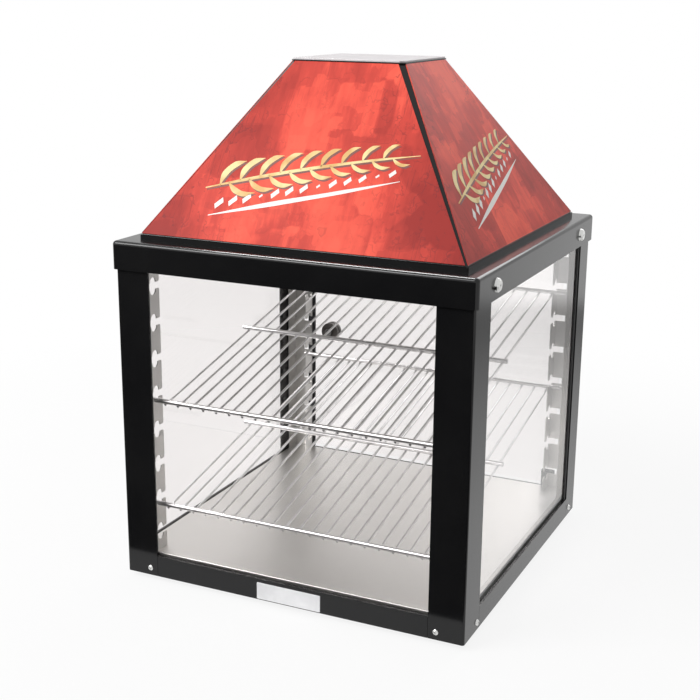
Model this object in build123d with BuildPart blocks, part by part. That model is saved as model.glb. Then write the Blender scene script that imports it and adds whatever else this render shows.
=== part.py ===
"""Heated display cabinet with a pyramid sign: every physical piece as its own solid.

Millimetres, Z up. X runs to the right as seen from the front and Y runs to the back.
The origin is the plan centre of the cabinet, on the surface that its feet stand on.
"""
import os
from math import atan, cos, radians, sin, sqrt, tan

from build123d import *

os.makedirs("parts", exist_ok=True)

# Outline of the cabinet
body_width = 457.0
body_depth = 457.0
foot_height = 8.0
base_height = 27.3
window_height = 366.9
cap_height = 34.4
cap_overhang = 3.5
sign_band_height = 5.3
sign_height = 206.2
sign_side_setback = 22.0
sign_front_setback = 27.0
sign_top_width = 144.6
sign_top_depth = 137.2

# Sheet thicknesses and general clearances
steel = 1.5
stainless = 1.2
panel_sheet = 1.2
glass_sheet = 4.0
running_gap = 0.3
seam_gap = 0.4
pin_play = 0.05
cut_overrun = 1.0

# Corner posts
front_post_face = 44.5
front_post_side = 50.5
rear_post_face = 20.0
rear_post_side = 40.5
post_bend = 3.0

# Glass, its setting strips and its gaskets
glass_setback = 3.4
strip_thickness = 1.5
glass_arris = 0.4
gasket_show = 6.5
gasket_lap = 12.0

# Floor tray
tray_side_gap = 0.8
tray_rise = 2.2
tray_edge_round = 1.0
tray_drain_width = 5.8
tray_drain_height = 2.0

# Notched shelf posts
shelf_post_side_gap = 1.3
shelf_post_back_gap = 1.6
shelf_post_width = 29.8
shelf_post_depth = 23.5
notch_pitch = 45.5
lowest_notch = 54.2
notch_top_room = 25.0
notch_slot_width = 12.0
notch_slot_height = 22.0
notch_mouth_height = 8.5
notch_reach = 14.0
notch_web = 4.0
prong_round = 2.5

# Wire shelves
bar_diameter = 6.0
wire_diameter = 3.0
bar_engagement = 12.0
shelf_shift = 4.0
mid_bar_overhang = 7.5
wire_pitch = 18.15
wire_post_gap = 8.0
wire_overrun = 1.0
weld_sink = 0.35
upper_front_notch = 5
upper_rear_notch = 7
lower_front_notch = 2
lower_rear_notch = 4

# Ceiling and head
ceiling_above_skirt = 12.0
ceiling_flange = 16.0
header_drop = 27.2
header_side_gap = 2.0
header_corner = 2.0
outlet_length = 120.0
outlet_width = 12.0
outlet_pitch = 28.0
outlet_count = 8
cap_corner_radius = 5.0
cap_edge_ease = 0.5
cap_ledge = 25.0
sign_flange = 20.0
strip_leg_bottom = 2.2
strip_leg_top = 5.0
sign_rim = 1.5
top_plate_thickness = 2.0
top_plate_margin = 1.2
top_plate_round = 0.6
sign_panel_margin = 1.0

# Rear door
door_stand_off = 1.5
door_lap = 7.8
hinge_offset = 7.0
door_bottom_gap = 2.0
door_top_gap = 1.2
hinge_pin_diameter = 3.0
hinge_boss_radius = 2.9
hinge_pin_length = 4.5
pin_end_gap = 0.5
pin_cover = 1.2
pane_past_hinge = 1.0
bracket_width = 16.0
bracket_side_lap = 7.0
bracket_inner_reach = 5.0
bracket_leg = 12.0
upper_bracket_trim = 2.0
clip_height = 24.0
clip_length = 16.0
clip_wall = 0.9
edge_trim_width = 10.0
edge_trim_wall = 0.9
edge_trim_round = 0.5
knob_diameter = 27.0
knob_length = 15.0
knob_inset = 33.8
knob_rise = 189.7
knob_bore_depth = 10.0
knob_groove_width = 3.0
knob_groove_depth = 1.6
knob_groove_share = 0.4
knob_round = 2.5
knob_screw_head = 11.0
knob_screw_head_height = 0.9
knob_screw_tip_gap = 1.0
knob_recess_share = 0.55
knob_recess_width = 1.0

# Catch of the door
catch_length = 40.0
catch_height = 8.0
catch_side_gap = 6.0
catch_drop = 1.0
magnet_thickness = 1.0
strike_thickness = 0.6

# Fasteners and feet
screw_shank = 3.8
screw_head = 7.6
screw_head_height = 2.3
screw_side_share = 0.6
screw_side_taper = 12.0
screw_crown_taper = 48.0
recess_span_share = 0.5
recess_width_share = 0.12
recess_depth_share = 0.6
base_screw_length = 3.3
cap_screw_length = 7.0
cap_screw_head = 17.0
cap_screw_head_height = 4.4
cap_screw_front_inset = 56.7
cap_screw_rear_inset = 59.2
cap_screw_above_skirt = 16.0
base_screw_height = 10.0
base_screw_face_inset = 34.5
base_screw_front_inset = 42.5
base_screw_rear_inset = 27.0
foot_sole_diameter = 18.0
foot_flare = 5.0
foot_round = 1.2
foot_bore_room = 1.0
foot_side_inset = 50.5
foot_front_inset = 25.5
nut_height = 2.8

# Name plate, left bare
plate_width = 86.0
plate_height = 21.5
plate_thickness = 1.0
plate_corner = 1.2
plate_edge_round = 0.35
plate_centre_x = 3.0
plate_drop = 1.6

# Fan, heater and lamp in the head
fan_x = -75.0
fan_y = 30.0
fan_opening = 104.0
fan_above_ceiling = 4.0
fan_hub = 26.0
fan_hub_height = 12.0
fan_tip_gap = 3.0
fan_blade_count = 5
fan_root_chord = 14.0
fan_root_thickness = 1.2
fan_root_twist = 35
fan_root_sink = 1.5
fan_tip_chord = 30.0
fan_tip_thickness = 1.0
fan_tip_twist = 18
fan_shaft = 5.0
guard_thickness = 2.0
guard_lap = 7.0
guard_ring_pitch = 9.0
guard_ring_width = 2.0
guard_bar_width = 2.6
guard_bar_count = 4
motor_diameter = 60.0
motor_height = 34.0
motor_bore_depth = 16.0
motor_round = 4.0
motor_band_from = 0.35
motor_band_share = 0.3
motor_band_sink = 1.5
shaft_end_gap = 2.0
bridge_height = 26.0
bridge_length = 136.0
bridge_width = 34.0
bridge_foot = 12.0
bridge_bore_room = 4.0
heater_tube = 7.0
heater_pitch = 40.0
heater_left_x = 30.0
heater_front_y = -130.0
heater_rear_y = 130.0
heater_end_y = 150.0
heater_lift = 16.0
heater_run_count = 4
heater_bend_ease = 1.0
saddle_y = 85.0
saddle_margin = 12.0
saddle_rise = 8.0
terminal_width = 22.0
terminal_height = 18.0
terminal_end_gap = 10.0
terminal_setback = 3.0
terminal_columns = 5
terminal_rows = 2
terminal_screw_pitch = 18.0
terminal_row_pitch = 11.0
terminal_screw_bore = 6.8
lamp_x = -80.0
lamp_y = -115.0
lamp_opening_x = 96.0
lamp_opening_y = 44.0
lens_thickness = 3.0
lens_lap = 6.0
bulb_diameter = 42.0
bulb_neck = 26.0
bulb_above_lens = 4.0
bulb_reach = 31.0
socket_offset = 38.0
socket_diameter = 34.0
socket_length = 32.0
socket_depth = 24.0
socket_foot_width = 20.0
socket_foot_thickness = 8.0
socket_foot_gap = 1.0

# Controls on the back of the sign
controls_up = 52.0
dial_right = 42.0
switch_right = -70.0
pilot_right = -22.0
inlet_edge_inset = 88.0
dial_diameter = 38.0
dial_height = 17.0
dial_skirt = 4.0
dial_skirt_ledge = 5.0
dial_grip_width = 8.0
dial_grip_inset = 4.0
dial_grip_drop = 2.0
dial_taper = 4.0
dial_shaft = 6.0
dial_shaft_depth = 15.0
dial_shaft_room = 1.0
thermostat_diameter = 40.0
thermostat_depth = 26.0
thermostat_round = 1.5
thermostat_bore_room = 3.0
switch_body_width = 19.0
switch_body_height = 25.0
switch_body_depth = 24.0
switch_bezel_lap = 3.0
switch_bezel = 1.8
switch_bezel_corner = 2.0
switch_end_room = 3.0
rocker_width = 14.4
rocker_length = 18.0
rocker_low_end = 3.6
rocker_dip = 1.4
rocker_high_end = 6.0
rocker_tuck = 0.4
rocker_shoulder = 1.5
rocker_belly = 5.0
pilot_body = 8.0
pilot_lens = 12.0
pilot_rise = 4.0
pilot_round = 2.0
pilot_depth = 20.0
inlet_body_width = 27.2
inlet_body_height = 19.8
inlet_body_depth = 26.0
inlet_flange_width = 48.0
inlet_flange_height = 26.0
inlet_flange = 2.2
inlet_floor = 8.0
inlet_mouth_width = 22.0
inlet_mouth_height = 14.6
inlet_mouth_corner = 3.5
inlet_flange_corner = 4.0
inlet_pin_width = 2.0
inlet_pin_height = 4.2
inlet_pin_offset = 6.8
inlet_pin_drop = 1.8
inlet_earth_rise = 1.6
inlet_pin_tip_gap = 3.0
inlet_screw_offset = 19.5
inlet_screw_radius = 2.0
inlet_screw_floor = 0.6

# Heights worked out from the values above
base_top = foot_height + base_height
deck_top = foot_height + steel
skirt_bottom = base_top + window_height
cap_top = skirt_bottom + cap_height
ceiling_bottom = skirt_bottom + ceiling_above_skirt
ceiling_top = ceiling_bottom + stainless
tray_top = base_top + tray_rise
sign_bottom = cap_top + sign_band_height
sign_top = sign_bottom + sign_height
rim_bottom = sign_top - top_plate_thickness - sign_rim

half_width = body_width / 2
half_depth = body_depth / 2
post_inner_x = half_width - steel
post_inner_y = half_depth - steel
glass_outer_x = half_width - glass_setback
glass_outer_y = half_depth - glass_setback
glass_inner_x = glass_outer_x - glass_sheet
glass_inner_y = glass_outer_y - glass_sheet
shelf_post_side_x = glass_inner_x - shelf_post_side_gap
shelf_post_back_y = glass_inner_y - shelf_post_back_gap
shelf_post_inner_x = shelf_post_side_x - shelf_post_width
skirt_outer_x = half_width + cap_overhang
skirt_outer_y = half_depth + cap_overhang
skirt_inner_x = skirt_outer_x - steel
skirt_inner_y = skirt_outer_y - steel
sign_base_width = 2 * (skirt_outer_x - sign_side_setback)
sign_base_depth = 2 * (skirt_outer_y - sign_front_setback)
inlet_right = sign_base_width / 2 - inlet_edge_inset
heater_middle_x = heater_left_x + (heater_run_count - 1) * heater_pitch / 2
foot_spacing_x = 2 * (half_width - foot_side_inset)
foot_spacing_y = 2 * (half_depth - foot_front_inset)


def keep(block, name):
    """Label one finished piece and write it."""
    block.part.label = name
    export_step(block.part, f"parts/{name}.step")


def box_between(low, high, mode=Mode.ADD):
    """A block between two opposite corners, for use inside a part block."""
    size = [b - a for a, b in zip(low, high)]
    middle = [(a + b) / 2 for a, b in zip(low, high)]
    with Locations(tuple(middle)):
        Box(*size, mode=mode)


# Base pan: a folded tray whose corners step in to take the posts

def make_base_pan():
    rails = (
        (-half_width + front_post_face + seam_gap, -half_depth, half_width - front_post_face - seam_gap, 0),
        (-half_width + rear_post_face + seam_gap, 0, half_width - rear_post_face - seam_gap, half_depth),
        (-half_width, -half_depth + front_post_side + seam_gap, 0, half_depth - rear_post_side - seam_gap),
        (0, -half_depth + front_post_side + seam_gap, half_width, half_depth - rear_post_side - seam_gap),
    )
    wall_inner_x = post_inner_x - steel
    wall_inner_y = post_inner_y - steel
    with BuildPart() as pan:
        with BuildSketch(Plane.XY.offset(foot_height)) as outline:
            Rectangle(2 * post_inner_x, 2 * post_inner_y)
            chamfer(outline.vertices(), steel)
        with BuildSketch(Plane.XY.offset(foot_height)):
            for x0, y0, x1, y1 in rails:
                with Locations(((x0 + x1) / 2, (y0 + y1) / 2)):
                    Rectangle(x1 - x0, y1 - y0)
        extrude(amount=base_height)
        with BuildSketch(Plane.XY.offset(deck_top)):
            Rectangle(2 * wall_inner_x, 2 * wall_inner_y)
        extrude(amount=base_height, mode=Mode.SUBTRACT)
        for plane, places in base_screw_places():
            with BuildSketch(plane) as holes:
                with Locations(*places):
                    Circle(screw_shank / 2 + running_gap)
            extrude(amount=-3 * steel, mode=Mode.SUBTRACT)
        with BuildSketch(Plane.XY.offset(foot_height)):
            with GridLocations(foot_spacing_x, foot_spacing_y, 2, 2):
                Circle(screw_shank / 2 + running_gap)
        extrude(amount=steel, mode=Mode.SUBTRACT)
    keep(pan, "base_pan")


def face_plane(side, reach):
    """A plane on one upright face of the cabinet, looking at it from outside, u to the right."""
    directions = {
        "front": ((0, -reach, 0), (1, 0, 0), (0, -1, 0)),
        "rear": ((0, reach, 0), (-1, 0, 0), (0, 1, 0)),
        "right": ((reach, 0, 0), (0, 1, 0), (1, 0, 0)),
        "left": ((-reach, 0, 0), (0, -1, 0), (-1, 0, 0)),
    }
    origin, right, normal = directions[side]
    return Plane(origin=origin, x_dir=right, z_dir=normal)


def base_screw_places():
    """Screws through each post's foot into the base pan, on all four sides."""
    height = foot_height + base_screw_height
    front_x = half_width - base_screw_face_inset
    rear_x = half_width - rear_post_face / 2
    side_front = half_depth - base_screw_front_inset
    side_rear = half_depth - base_screw_rear_inset
    return (
        (face_plane("front", half_depth), ((-front_x, height), (front_x, height))),
        (face_plane("rear", half_depth), ((-rear_x, height), (rear_x, height))),
        (face_plane("right", half_width), ((-side_front, height), (side_rear, height))),
        (face_plane("left", half_width), ((side_front, height), (-side_rear, height))),
    )


def cap_screw_places():
    """Screws through the skirt of the cap into the flange of the ceiling."""
    height = skirt_bottom + cap_screw_above_skirt
    front = half_depth - cap_screw_front_inset
    rear = half_depth - cap_screw_rear_inset
    return (
        (face_plane("right", skirt_outer_x), ((-front, height), (rear, height))),
        (face_plane("left", skirt_outer_x), ((front, height), (-rear, height))),
    )


def add_cross_screw(plane, place, length, head, head_height):
    """One domed screw with a cross recess, its shank going into the plane."""
    with BuildSketch(plane) as shank:
        with Locations(place):
            Circle(screw_shank / 2)
    extrude(shank.sketch, amount=-length)
    with BuildSketch(plane) as rim:
        with Locations(place):
            Circle(head / 2)
    side_height = head_height * screw_side_share
    extrude(rim.sketch, amount=side_height, taper=screw_side_taper)
    shoulder = head / 2 - side_height * tan(radians(screw_side_taper))
    with BuildSketch(plane.offset(side_height)) as crown:
        with Locations(place):
            Circle(shoulder)
    extrude(crown.sketch, amount=head_height - side_height, taper=screw_crown_taper)
    with BuildSketch(plane.offset(head_height)) as recess:
        with Locations(place):
            Rectangle(screw_head * recess_span_share, screw_head * recess_width_share)
            Rectangle(screw_head * recess_width_share, screw_head * recess_span_share)
    extrude(recess.sketch, amount=-head_height * recess_depth_share, mode=Mode.SUBTRACT)


def make_screws(name, groups, length, head, head_height):
    with BuildPart() as screws:
        for plane, places in groups:
            for place in places:
                add_cross_screw(plane, place, length, head, head_height)
    keep(screws, name)


# Feet and their screws

def make_feet():
    with BuildPart() as feet:
        with BuildSketch(Plane.XY):
            with GridLocations(foot_spacing_x, foot_spacing_y, 2, 2):
                Circle(foot_sole_diameter / 2)
        extrude(amount=foot_height, taper=-foot_flare)
        fillet(feet.faces().filter_by(Axis.Z).group_by(Axis.Z)[0].edges(), foot_round)
        with BuildSketch(Plane.XY):
            with GridLocations(foot_spacing_x, foot_spacing_y, 2, 2):
                Circle(screw_head / 2 + foot_bore_room)
        extrude(amount=foot_height / 2, mode=Mode.SUBTRACT)
        with BuildSketch(Plane.XY):
            with GridLocations(foot_spacing_x, foot_spacing_y, 2, 2):
                Circle(screw_shank / 2 + running_gap)
        extrude(amount=foot_height, mode=Mode.SUBTRACT)
    keep(feet, "rubber_feet")


def make_foot_screws():
    seat = foot_height / 2
    half_x = foot_spacing_x / 2
    half_y = foot_spacing_y / 2
    spots = ((-half_x, -half_y), (-half_x, half_y), (half_x, -half_y), (half_x, half_y))
    with BuildPart() as screws:
        with BuildSketch(Plane.XY.offset(seat)):
            with Locations(*spots):
                Circle(screw_shank / 2)
        extrude(amount=deck_top + nut_height + seam_gap - seat)
        with BuildSketch(Plane.XY.offset(seat)):
            with Locations(*spots):
                Circle(screw_head / 2)
        extrude(amount=-screw_head_height)
        with BuildSketch(Plane.XY.offset(seat - screw_head_height)):
            with Locations(*spots):
                Rectangle(screw_head * recess_span_share, screw_head * recess_width_share)
                Rectangle(screw_head * recess_width_share, screw_head * recess_span_share)
        extrude(amount=screw_head_height * recess_depth_share, mode=Mode.SUBTRACT)
        with BuildSketch(Plane.XY.offset(deck_top)):
            with Locations(*spots):
                RegularPolygon(screw_head / 2, 6)
                Circle(screw_shank / 2, mode=Mode.SUBTRACT)
        extrude(amount=nut_height)
    keep(screws, "foot_screws")


# Corner posts: folded angles, one for each corner

def make_post(name, side_x, side_y, face, side):
    with BuildPart() as post:
        with BuildSketch(Plane.XY.offset(foot_height)) as section:
            with BuildLine():
                Polyline(
                    (side_x * half_width, side_y * half_depth),
                    (side_x * (half_width - face), side_y * half_depth),
                    (side_x * (half_width - face), side_y * post_inner_y),
                    (side_x * post_inner_x, side_y * post_inner_y),
                    (side_x * post_inner_x, side_y * (half_depth - side)),
                    (side_x * half_width, side_y * (half_depth - side)),
                    close=True,
                )
            make_face()
            outer = section.vertices().sort_by(lambda v: abs(v.X) + abs(v.Y))[-1]
            fillet(outer, post_bend)
            inner = section.vertices().sort_by_distance((side_x * post_inner_x, side_y * post_inner_y))[0]
            fillet(inner, post_bend - steel)
        extrude(amount=ceiling_bottom - foot_height)
        for plane, places in base_screw_places():
            with BuildSketch(plane):
                with Locations(*places):
                    Circle(screw_shank / 2 + running_gap)
            extrude(amount=-2 * steel, mode=Mode.SUBTRACT)
    keep(post, name)


# Glass panes, their setting strips and their gaskets

def make_panes():
    bottom = deck_top + strip_thickness
    top = ceiling_bottom
    rear_end = post_inner_y - steel - seam_gap
    with BuildPart() as front_glass:
        box_between(
            (-glass_inner_x + seam_gap, -glass_outer_y, bottom),
            (glass_inner_x - seam_gap, -glass_inner_y, top),
        )
        chamfer(front_glass.edges().filter_by(Axis.Z), glass_arris)
    keep(front_glass, "front_glass")
    for name, side in (("left_glass", -1), ("right_glass", 1)):
        with BuildPart() as pane:
            low_x, high_x = sorted((side * glass_inner_x, side * glass_outer_x))
            box_between((low_x, -glass_outer_y, bottom), (high_x, rear_end, top))
            chamfer(pane.edges().filter_by(Axis.Z), glass_arris)
        keep(pane, name)
    with BuildPart() as strips:
        box_between(
            (-glass_inner_x + seam_gap, -glass_outer_y, deck_top),
            (glass_inner_x - seam_gap, -glass_inner_y, bottom),
        )
        for side in (-1, 1):
            low_x, high_x = sorted((side * glass_inner_x, side * glass_outer_x))
            box_between((low_x, -glass_outer_y + seam_gap, deck_top), (high_x, post_inner_y - steel, bottom))
    keep(strips, "glass_setting_strips")


def make_gaskets():
    bottom = base_top + seam_gap
    top = ceiling_bottom
    front_edge = half_depth - rear_post_side - gasket_show
    for name, side in (("left_rear_gasket", -1), ("right_rear_gasket", 1)):
        low_x, high_x = sorted((side * glass_outer_x, side * post_inner_x))
        with BuildPart() as gasket:
            box_between((low_x, front_edge, bottom), (high_x, half_depth - post_bend - steel, top))
        keep(gasket, name)
    with BuildPart() as front_gaskets:
        side_far = -half_depth + front_post_side - seam_gap
        for side in (-1, 1):
            low_x, high_x = sorted((side * glass_outer_x, side * post_inner_x))
            box_between((low_x, side_far - gasket_lap, bottom), (high_x, side_far, top))
            face_far = half_width - front_post_face + seam_gap
            low_x, high_x = sorted((side * face_far, side * (face_far + gasket_lap)))
            box_between((low_x, -post_inner_y, bottom), (high_x, -glass_outer_y, top))
    keep(front_gaskets, "front_gaskets")


# Floor tray: a stainless cover over the base pan, with drain notches in the feet of its side walls

def make_floor_tray():
    half_x = glass_inner_x - tray_side_gap
    half_y = glass_inner_y - tray_side_gap
    with BuildPart() as tray:
        box_between((-half_x, -half_y, deck_top), (half_x, half_y, tray_top))
        fillet(tray.edges().group_by(Axis.Z)[-1], tray_edge_round)
        box_between(
            (-half_x + stainless, -half_y + stainless, deck_top),
            (half_x - stainless, half_y - stainless, tray_top - stainless),
            mode=Mode.SUBTRACT,
        )
        with BuildSketch(Plane.XY.offset(deck_top)):
            with GridLocations(2 * half_x, foot_spacing_y, 2, 2):
                Rectangle(4 * stainless, tray_drain_width)
        extrude(amount=tray_drain_height, mode=Mode.SUBTRACT)
    keep(tray, "floor_tray")


# Notched shelf posts

def notch_height(number):
    """Height of a notch's middle, counted from the lowest one as number 1."""
    return foot_height + lowest_notch + (number - 1) * notch_pitch


def count_notches():
    """As many notches as the height of the cabinet takes."""
    room = ceiling_bottom - foot_height - lowest_notch - notch_top_room
    return int(room / notch_pitch) + 1


def slot_middle():
    """Distance of the upright slots from the middle of the cabinet, front to back."""
    return shelf_post_back_y - notch_web - notch_slot_width / 2


def make_shelf_post(name, side_x, side_y):
    """A stainless channel, open to the middle, whose inner face and web are notched."""
    outer_x = shelf_post_side_x
    inner_x = shelf_post_inner_x
    back_y = shelf_post_back_y
    free_y = back_y - shelf_post_depth
    low_z = tray_top
    with BuildPart() as post:
        with BuildSketch(Plane.XY.offset(low_z)) as section:
            with BuildLine():
                Polyline(
                    (side_x * outer_x, side_y * free_y),
                    (side_x * outer_x, side_y * back_y),
                    (side_x * inner_x, side_y * back_y),
                    (side_x * inner_x, side_y * free_y),
                    (side_x * (inner_x + stainless), side_y * free_y),
                    (side_x * (inner_x + stainless), side_y * (back_y - stainless)),
                    (side_x * (outer_x - stainless), side_y * (back_y - stainless)),
                    (side_x * (outer_x - stainless), side_y * free_y),
                    close=True,
                )
            make_face()
            corners = section.vertices().sort_by(lambda v: abs(v.Y))[-2:]
            fillet(corners, stainless)
        extrude(amount=ceiling_bottom - low_z)
        heights = [notch_height(number) for number in range(1, count_notches() + 1)]
        slot_y = side_y * slot_middle()
        inner_face = Plane(origin=(side_x * inner_x, 0, 0), x_dir=(0, 1, 0), z_dir=(1, 0, 0))
        reach_in = side_x * (stainless + cut_overrun)
        with BuildSketch(inner_face.offset(-side_x * cut_overrun)):
            with Locations(*[(slot_y, height) for height in heights]):
                SlotOverall(notch_slot_height, notch_slot_width, rotation=90)
            mouth = slot_middle() - free_y + cut_overrun
            mouth_y = side_y * (slot_middle() - mouth / 2)
            with Locations(*[(mouth_y, height) for height in heights]):
                Rectangle(mouth, notch_mouth_height)
        extrude(amount=reach_in + side_x * cut_overrun, mode=Mode.SUBTRACT)
        prongs = post.edges().filter_by(Axis.X).filter_by(
            lambda e: abs(abs(e.center().Y) - free_y) < 0.01 and abs(abs(e.center().X) - inner_x) < stainless
        )
        tips = prongs.filter_by(lambda e: low_z + 1 < e.center().Z < ceiling_bottom - 1)
        fillet(tips, prong_round)
        low_x, high_x = sorted((side_x * (inner_x - cut_overrun), side_x * (inner_x + notch_reach)))
        low_y, high_y = sorted((side_y * slot_middle(), side_y * (back_y + cut_overrun)))
        for height in heights:
            box_between(
                (low_x, low_y, height - notch_mouth_height / 2),
                (high_x, high_y, height + notch_mouth_height / 2),
                mode=Mode.SUBTRACT,
            )
    keep(post, name)


# Wire shelves: three bars with wires welded under them, sloping down to the front

def bar_rest_height(number):
    """Height of a bar's axis when it rests at the bottom of a notch."""
    return notch_height(number) - notch_slot_height / 2 + running_gap + bar_diameter / 2


def make_shelf(name, front_notch, rear_notch):
    front_z = bar_rest_height(front_notch)
    rear_z = bar_rest_height(rear_notch)
    reach_y = slot_middle()
    slope = atan((rear_z - front_z) / (2 * reach_y))
    middle_z = (front_z + rear_z) / 2
    along = sqrt((2 * reach_y) ** 2 + (rear_z - front_z) ** 2)
    wire_drop = (bar_diameter + wire_diameter) / 2 - weld_sink
    half_bar = shelf_post_inner_x + bar_engagement
    wire_gaps = int(2 * (shelf_post_inner_x - wire_post_gap) / wire_pitch)
    first = shelf_shift - wire_gaps * wire_pitch / 2
    plane = Plane(origin=(0, 0, middle_z), x_dir=(1, 0, 0), z_dir=(0, -sin(slope), cos(slope)))
    with BuildPart() as shelf:
        with BuildSketch(Plane.YZ.offset(shelf_shift - half_bar)):
            with Locations((-reach_y, front_z), (reach_y, rear_z)):
                Circle(bar_diameter / 2)
        extrude(amount=2 * half_bar)
        with BuildSketch(Plane.YZ.offset(first - mid_bar_overhang)):
            with Locations((0, middle_z)):
                Circle(bar_diameter / 2)
        extrude(amount=wire_gaps * wire_pitch + 2 * mid_bar_overhang)
        end = Plane(
            origin=plane.from_local_coords((0, -along / 2 - wire_overrun, -wire_drop)),
            x_dir=(1, 0, 0),
            z_dir=-plane.y_dir,
        )
        with BuildSketch(end):
            with Locations(*[(first + i * wire_pitch, 0) for i in range(wire_gaps + 1)]):
                Circle(wire_diameter / 2)
        extrude(amount=-(along + 2 * wire_overrun))
    keep(shelf, name)


# Ceiling: a stainless pan under the head, with the rear header that the door meets

def make_ceiling():
    half_x = skirt_inner_x
    half_y = skirt_inner_y
    with BuildPart() as ceiling:
        with BuildSketch(Plane.XY.offset(ceiling_bottom)) as outline:
            Rectangle(2 * half_x, 2 * half_y)
            fillet(outline.vertices(), cap_corner_radius)
        extrude(amount=ceiling_flange)
        with BuildSketch(Plane.XY.offset(ceiling_top)) as hollow:
            Rectangle(2 * (half_x - stainless), 2 * (half_y - stainless))
            fillet(hollow.vertices(), cap_corner_radius - stainless)
        extrude(amount=ceiling_flange, mode=Mode.SUBTRACT)
        with BuildSketch(Plane.XY.offset(ceiling_bottom)):
            with Locations((fan_x, fan_y)):
                Circle(fan_opening / 2)
            with Locations((lamp_x, lamp_y)):
                Rectangle(lamp_opening_x, lamp_opening_y)
            with Locations((heater_middle_x, 0)):
                with GridLocations(0, outlet_pitch, 1, outlet_count):
                    SlotOverall(outlet_length, outlet_width)
        extrude(amount=stainless, mode=Mode.SUBTRACT)
        for plane, places in cap_screw_places():
            with BuildSketch(plane):
                with Locations(*places):
                    Circle(screw_shank / 2 + running_gap)
            extrude(amount=-2 * steel - stainless, mode=Mode.SUBTRACT)
    keep(ceiling, "ceiling_plate")


def make_door_header():
    """The strip under the rear edge of the ceiling that the shut door meets."""
    half_x = shelf_post_inner_x - header_side_gap
    rear_y = shelf_post_back_y - seam_gap
    with BuildPart() as header:
        header_low = ceiling_bottom - header_drop
        box_between((-half_x, rear_y - stainless, header_low), (half_x, rear_y, ceiling_bottom))
        chamfer(header.edges().filter_by(Axis.Y).group_by(Axis.Z)[0], header_corner)
    keep(header, "door_header")


# Cap: a folded cover with rounded edges and a large opening under the sign

def make_cap():
    with BuildPart() as cap:
        with BuildSketch(Plane.XY.offset(skirt_bottom)) as outline:
            Rectangle(2 * skirt_outer_x, 2 * skirt_outer_y)
            fillet(outline.vertices(), cap_corner_radius)
        extrude(amount=cap_height)
        fillet(cap.faces().sort_by(Axis.Z)[-1].edges(), cap_corner_radius - cap_edge_ease)
        with BuildSketch(Plane.XY.offset(skirt_bottom)) as hollow:
            Rectangle(2 * skirt_inner_x, 2 * skirt_inner_y)
            fillet(hollow.vertices(), cap_corner_radius - steel)
        inner = extrude(amount=cap_height - steel, mode=Mode.PRIVATE)
        inner_top = inner.faces().sort_by(Axis.Z)[-1].edges()
        add(inner.fillet(cap_corner_radius - steel - cap_edge_ease, inner_top), mode=Mode.SUBTRACT)
        with BuildSketch(Plane.XY.offset(cap_top - steel)):
            Rectangle(sign_base_width - 2 * cap_ledge, sign_base_depth - 2 * cap_ledge)
        extrude(amount=steel, mode=Mode.SUBTRACT)
        for plane, places in cap_screw_places():
            with BuildSketch(plane):
                with Locations(*places):
                    Circle(screw_shank / 2 + running_gap)
            extrude(amount=-2 * steel, mode=Mode.SUBTRACT)
    keep(cap, "top_cap")


# Sign hood: a black pyramid shell with chamfered corners

side_slope = atan((sign_base_width - sign_top_width) / 2 / sign_height)
front_slope = atan((sign_base_depth - sign_top_depth) / 2 / sign_height)


def sign_half(height, inset=0.0):
    """Half the width and half the depth of the sign's outside at a height, less a normal inset."""
    up = height - sign_bottom
    half_x = sign_base_width / 2 - up * (sign_base_width - sign_top_width) / 2 / sign_height
    half_y = sign_base_depth / 2 - up * (sign_base_depth - sign_top_depth) / 2 / sign_height
    return half_x - inset / cos(side_slope), half_y - inset / cos(front_slope)


def strip_leg(height):
    """Leg of the corner chamfer at a height."""
    share = (height - sign_bottom) / sign_height
    return strip_leg_bottom + share * (strip_leg_top - strip_leg_bottom)


def sign_section(height, inset):
    half_x, half_y = sign_half(height, inset)
    with BuildSketch(Plane.XY.offset(height)) as section:
        Rectangle(2 * half_x, 2 * half_y)
        chamfer(section.vertices(), strip_leg(height))
    return section.sketch


def rear_plane(depth=0.0):
    """A plane on the back of the hood, looking at it from behind: u right, v up the slope."""
    _, half_y = sign_half(sign_bottom, panel_sheet)
    face = Plane(
        origin=(0, half_y, sign_bottom),
        x_dir=(-1, 0, 0),
        z_dir=(0, cos(front_slope), sin(front_slope)),
    )
    return face.offset(depth)


def add_control_cuts(depth_from, amount):
    """The cut-outs behind the dial, the switch, the pilot light and the power inlet."""
    with BuildSketch(rear_plane(depth_from)) as cuts:
        with Locations((dial_right, controls_up)):
            Circle(dial_shaft / 2 + dial_shaft_room)
        with Locations((switch_right, controls_up)):
            Rectangle(switch_body_width + 2 * running_gap, switch_body_height + 2 * running_gap)
        with Locations((pilot_right, controls_up)):
            Circle(pilot_body / 2 + running_gap)
        with Locations((inlet_right, controls_up)):
            Rectangle(inlet_body_width + 2 * seam_gap, inlet_body_height + 2 * seam_gap)
    extrude(cuts.sketch, amount=amount, mode=Mode.SUBTRACT)


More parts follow.
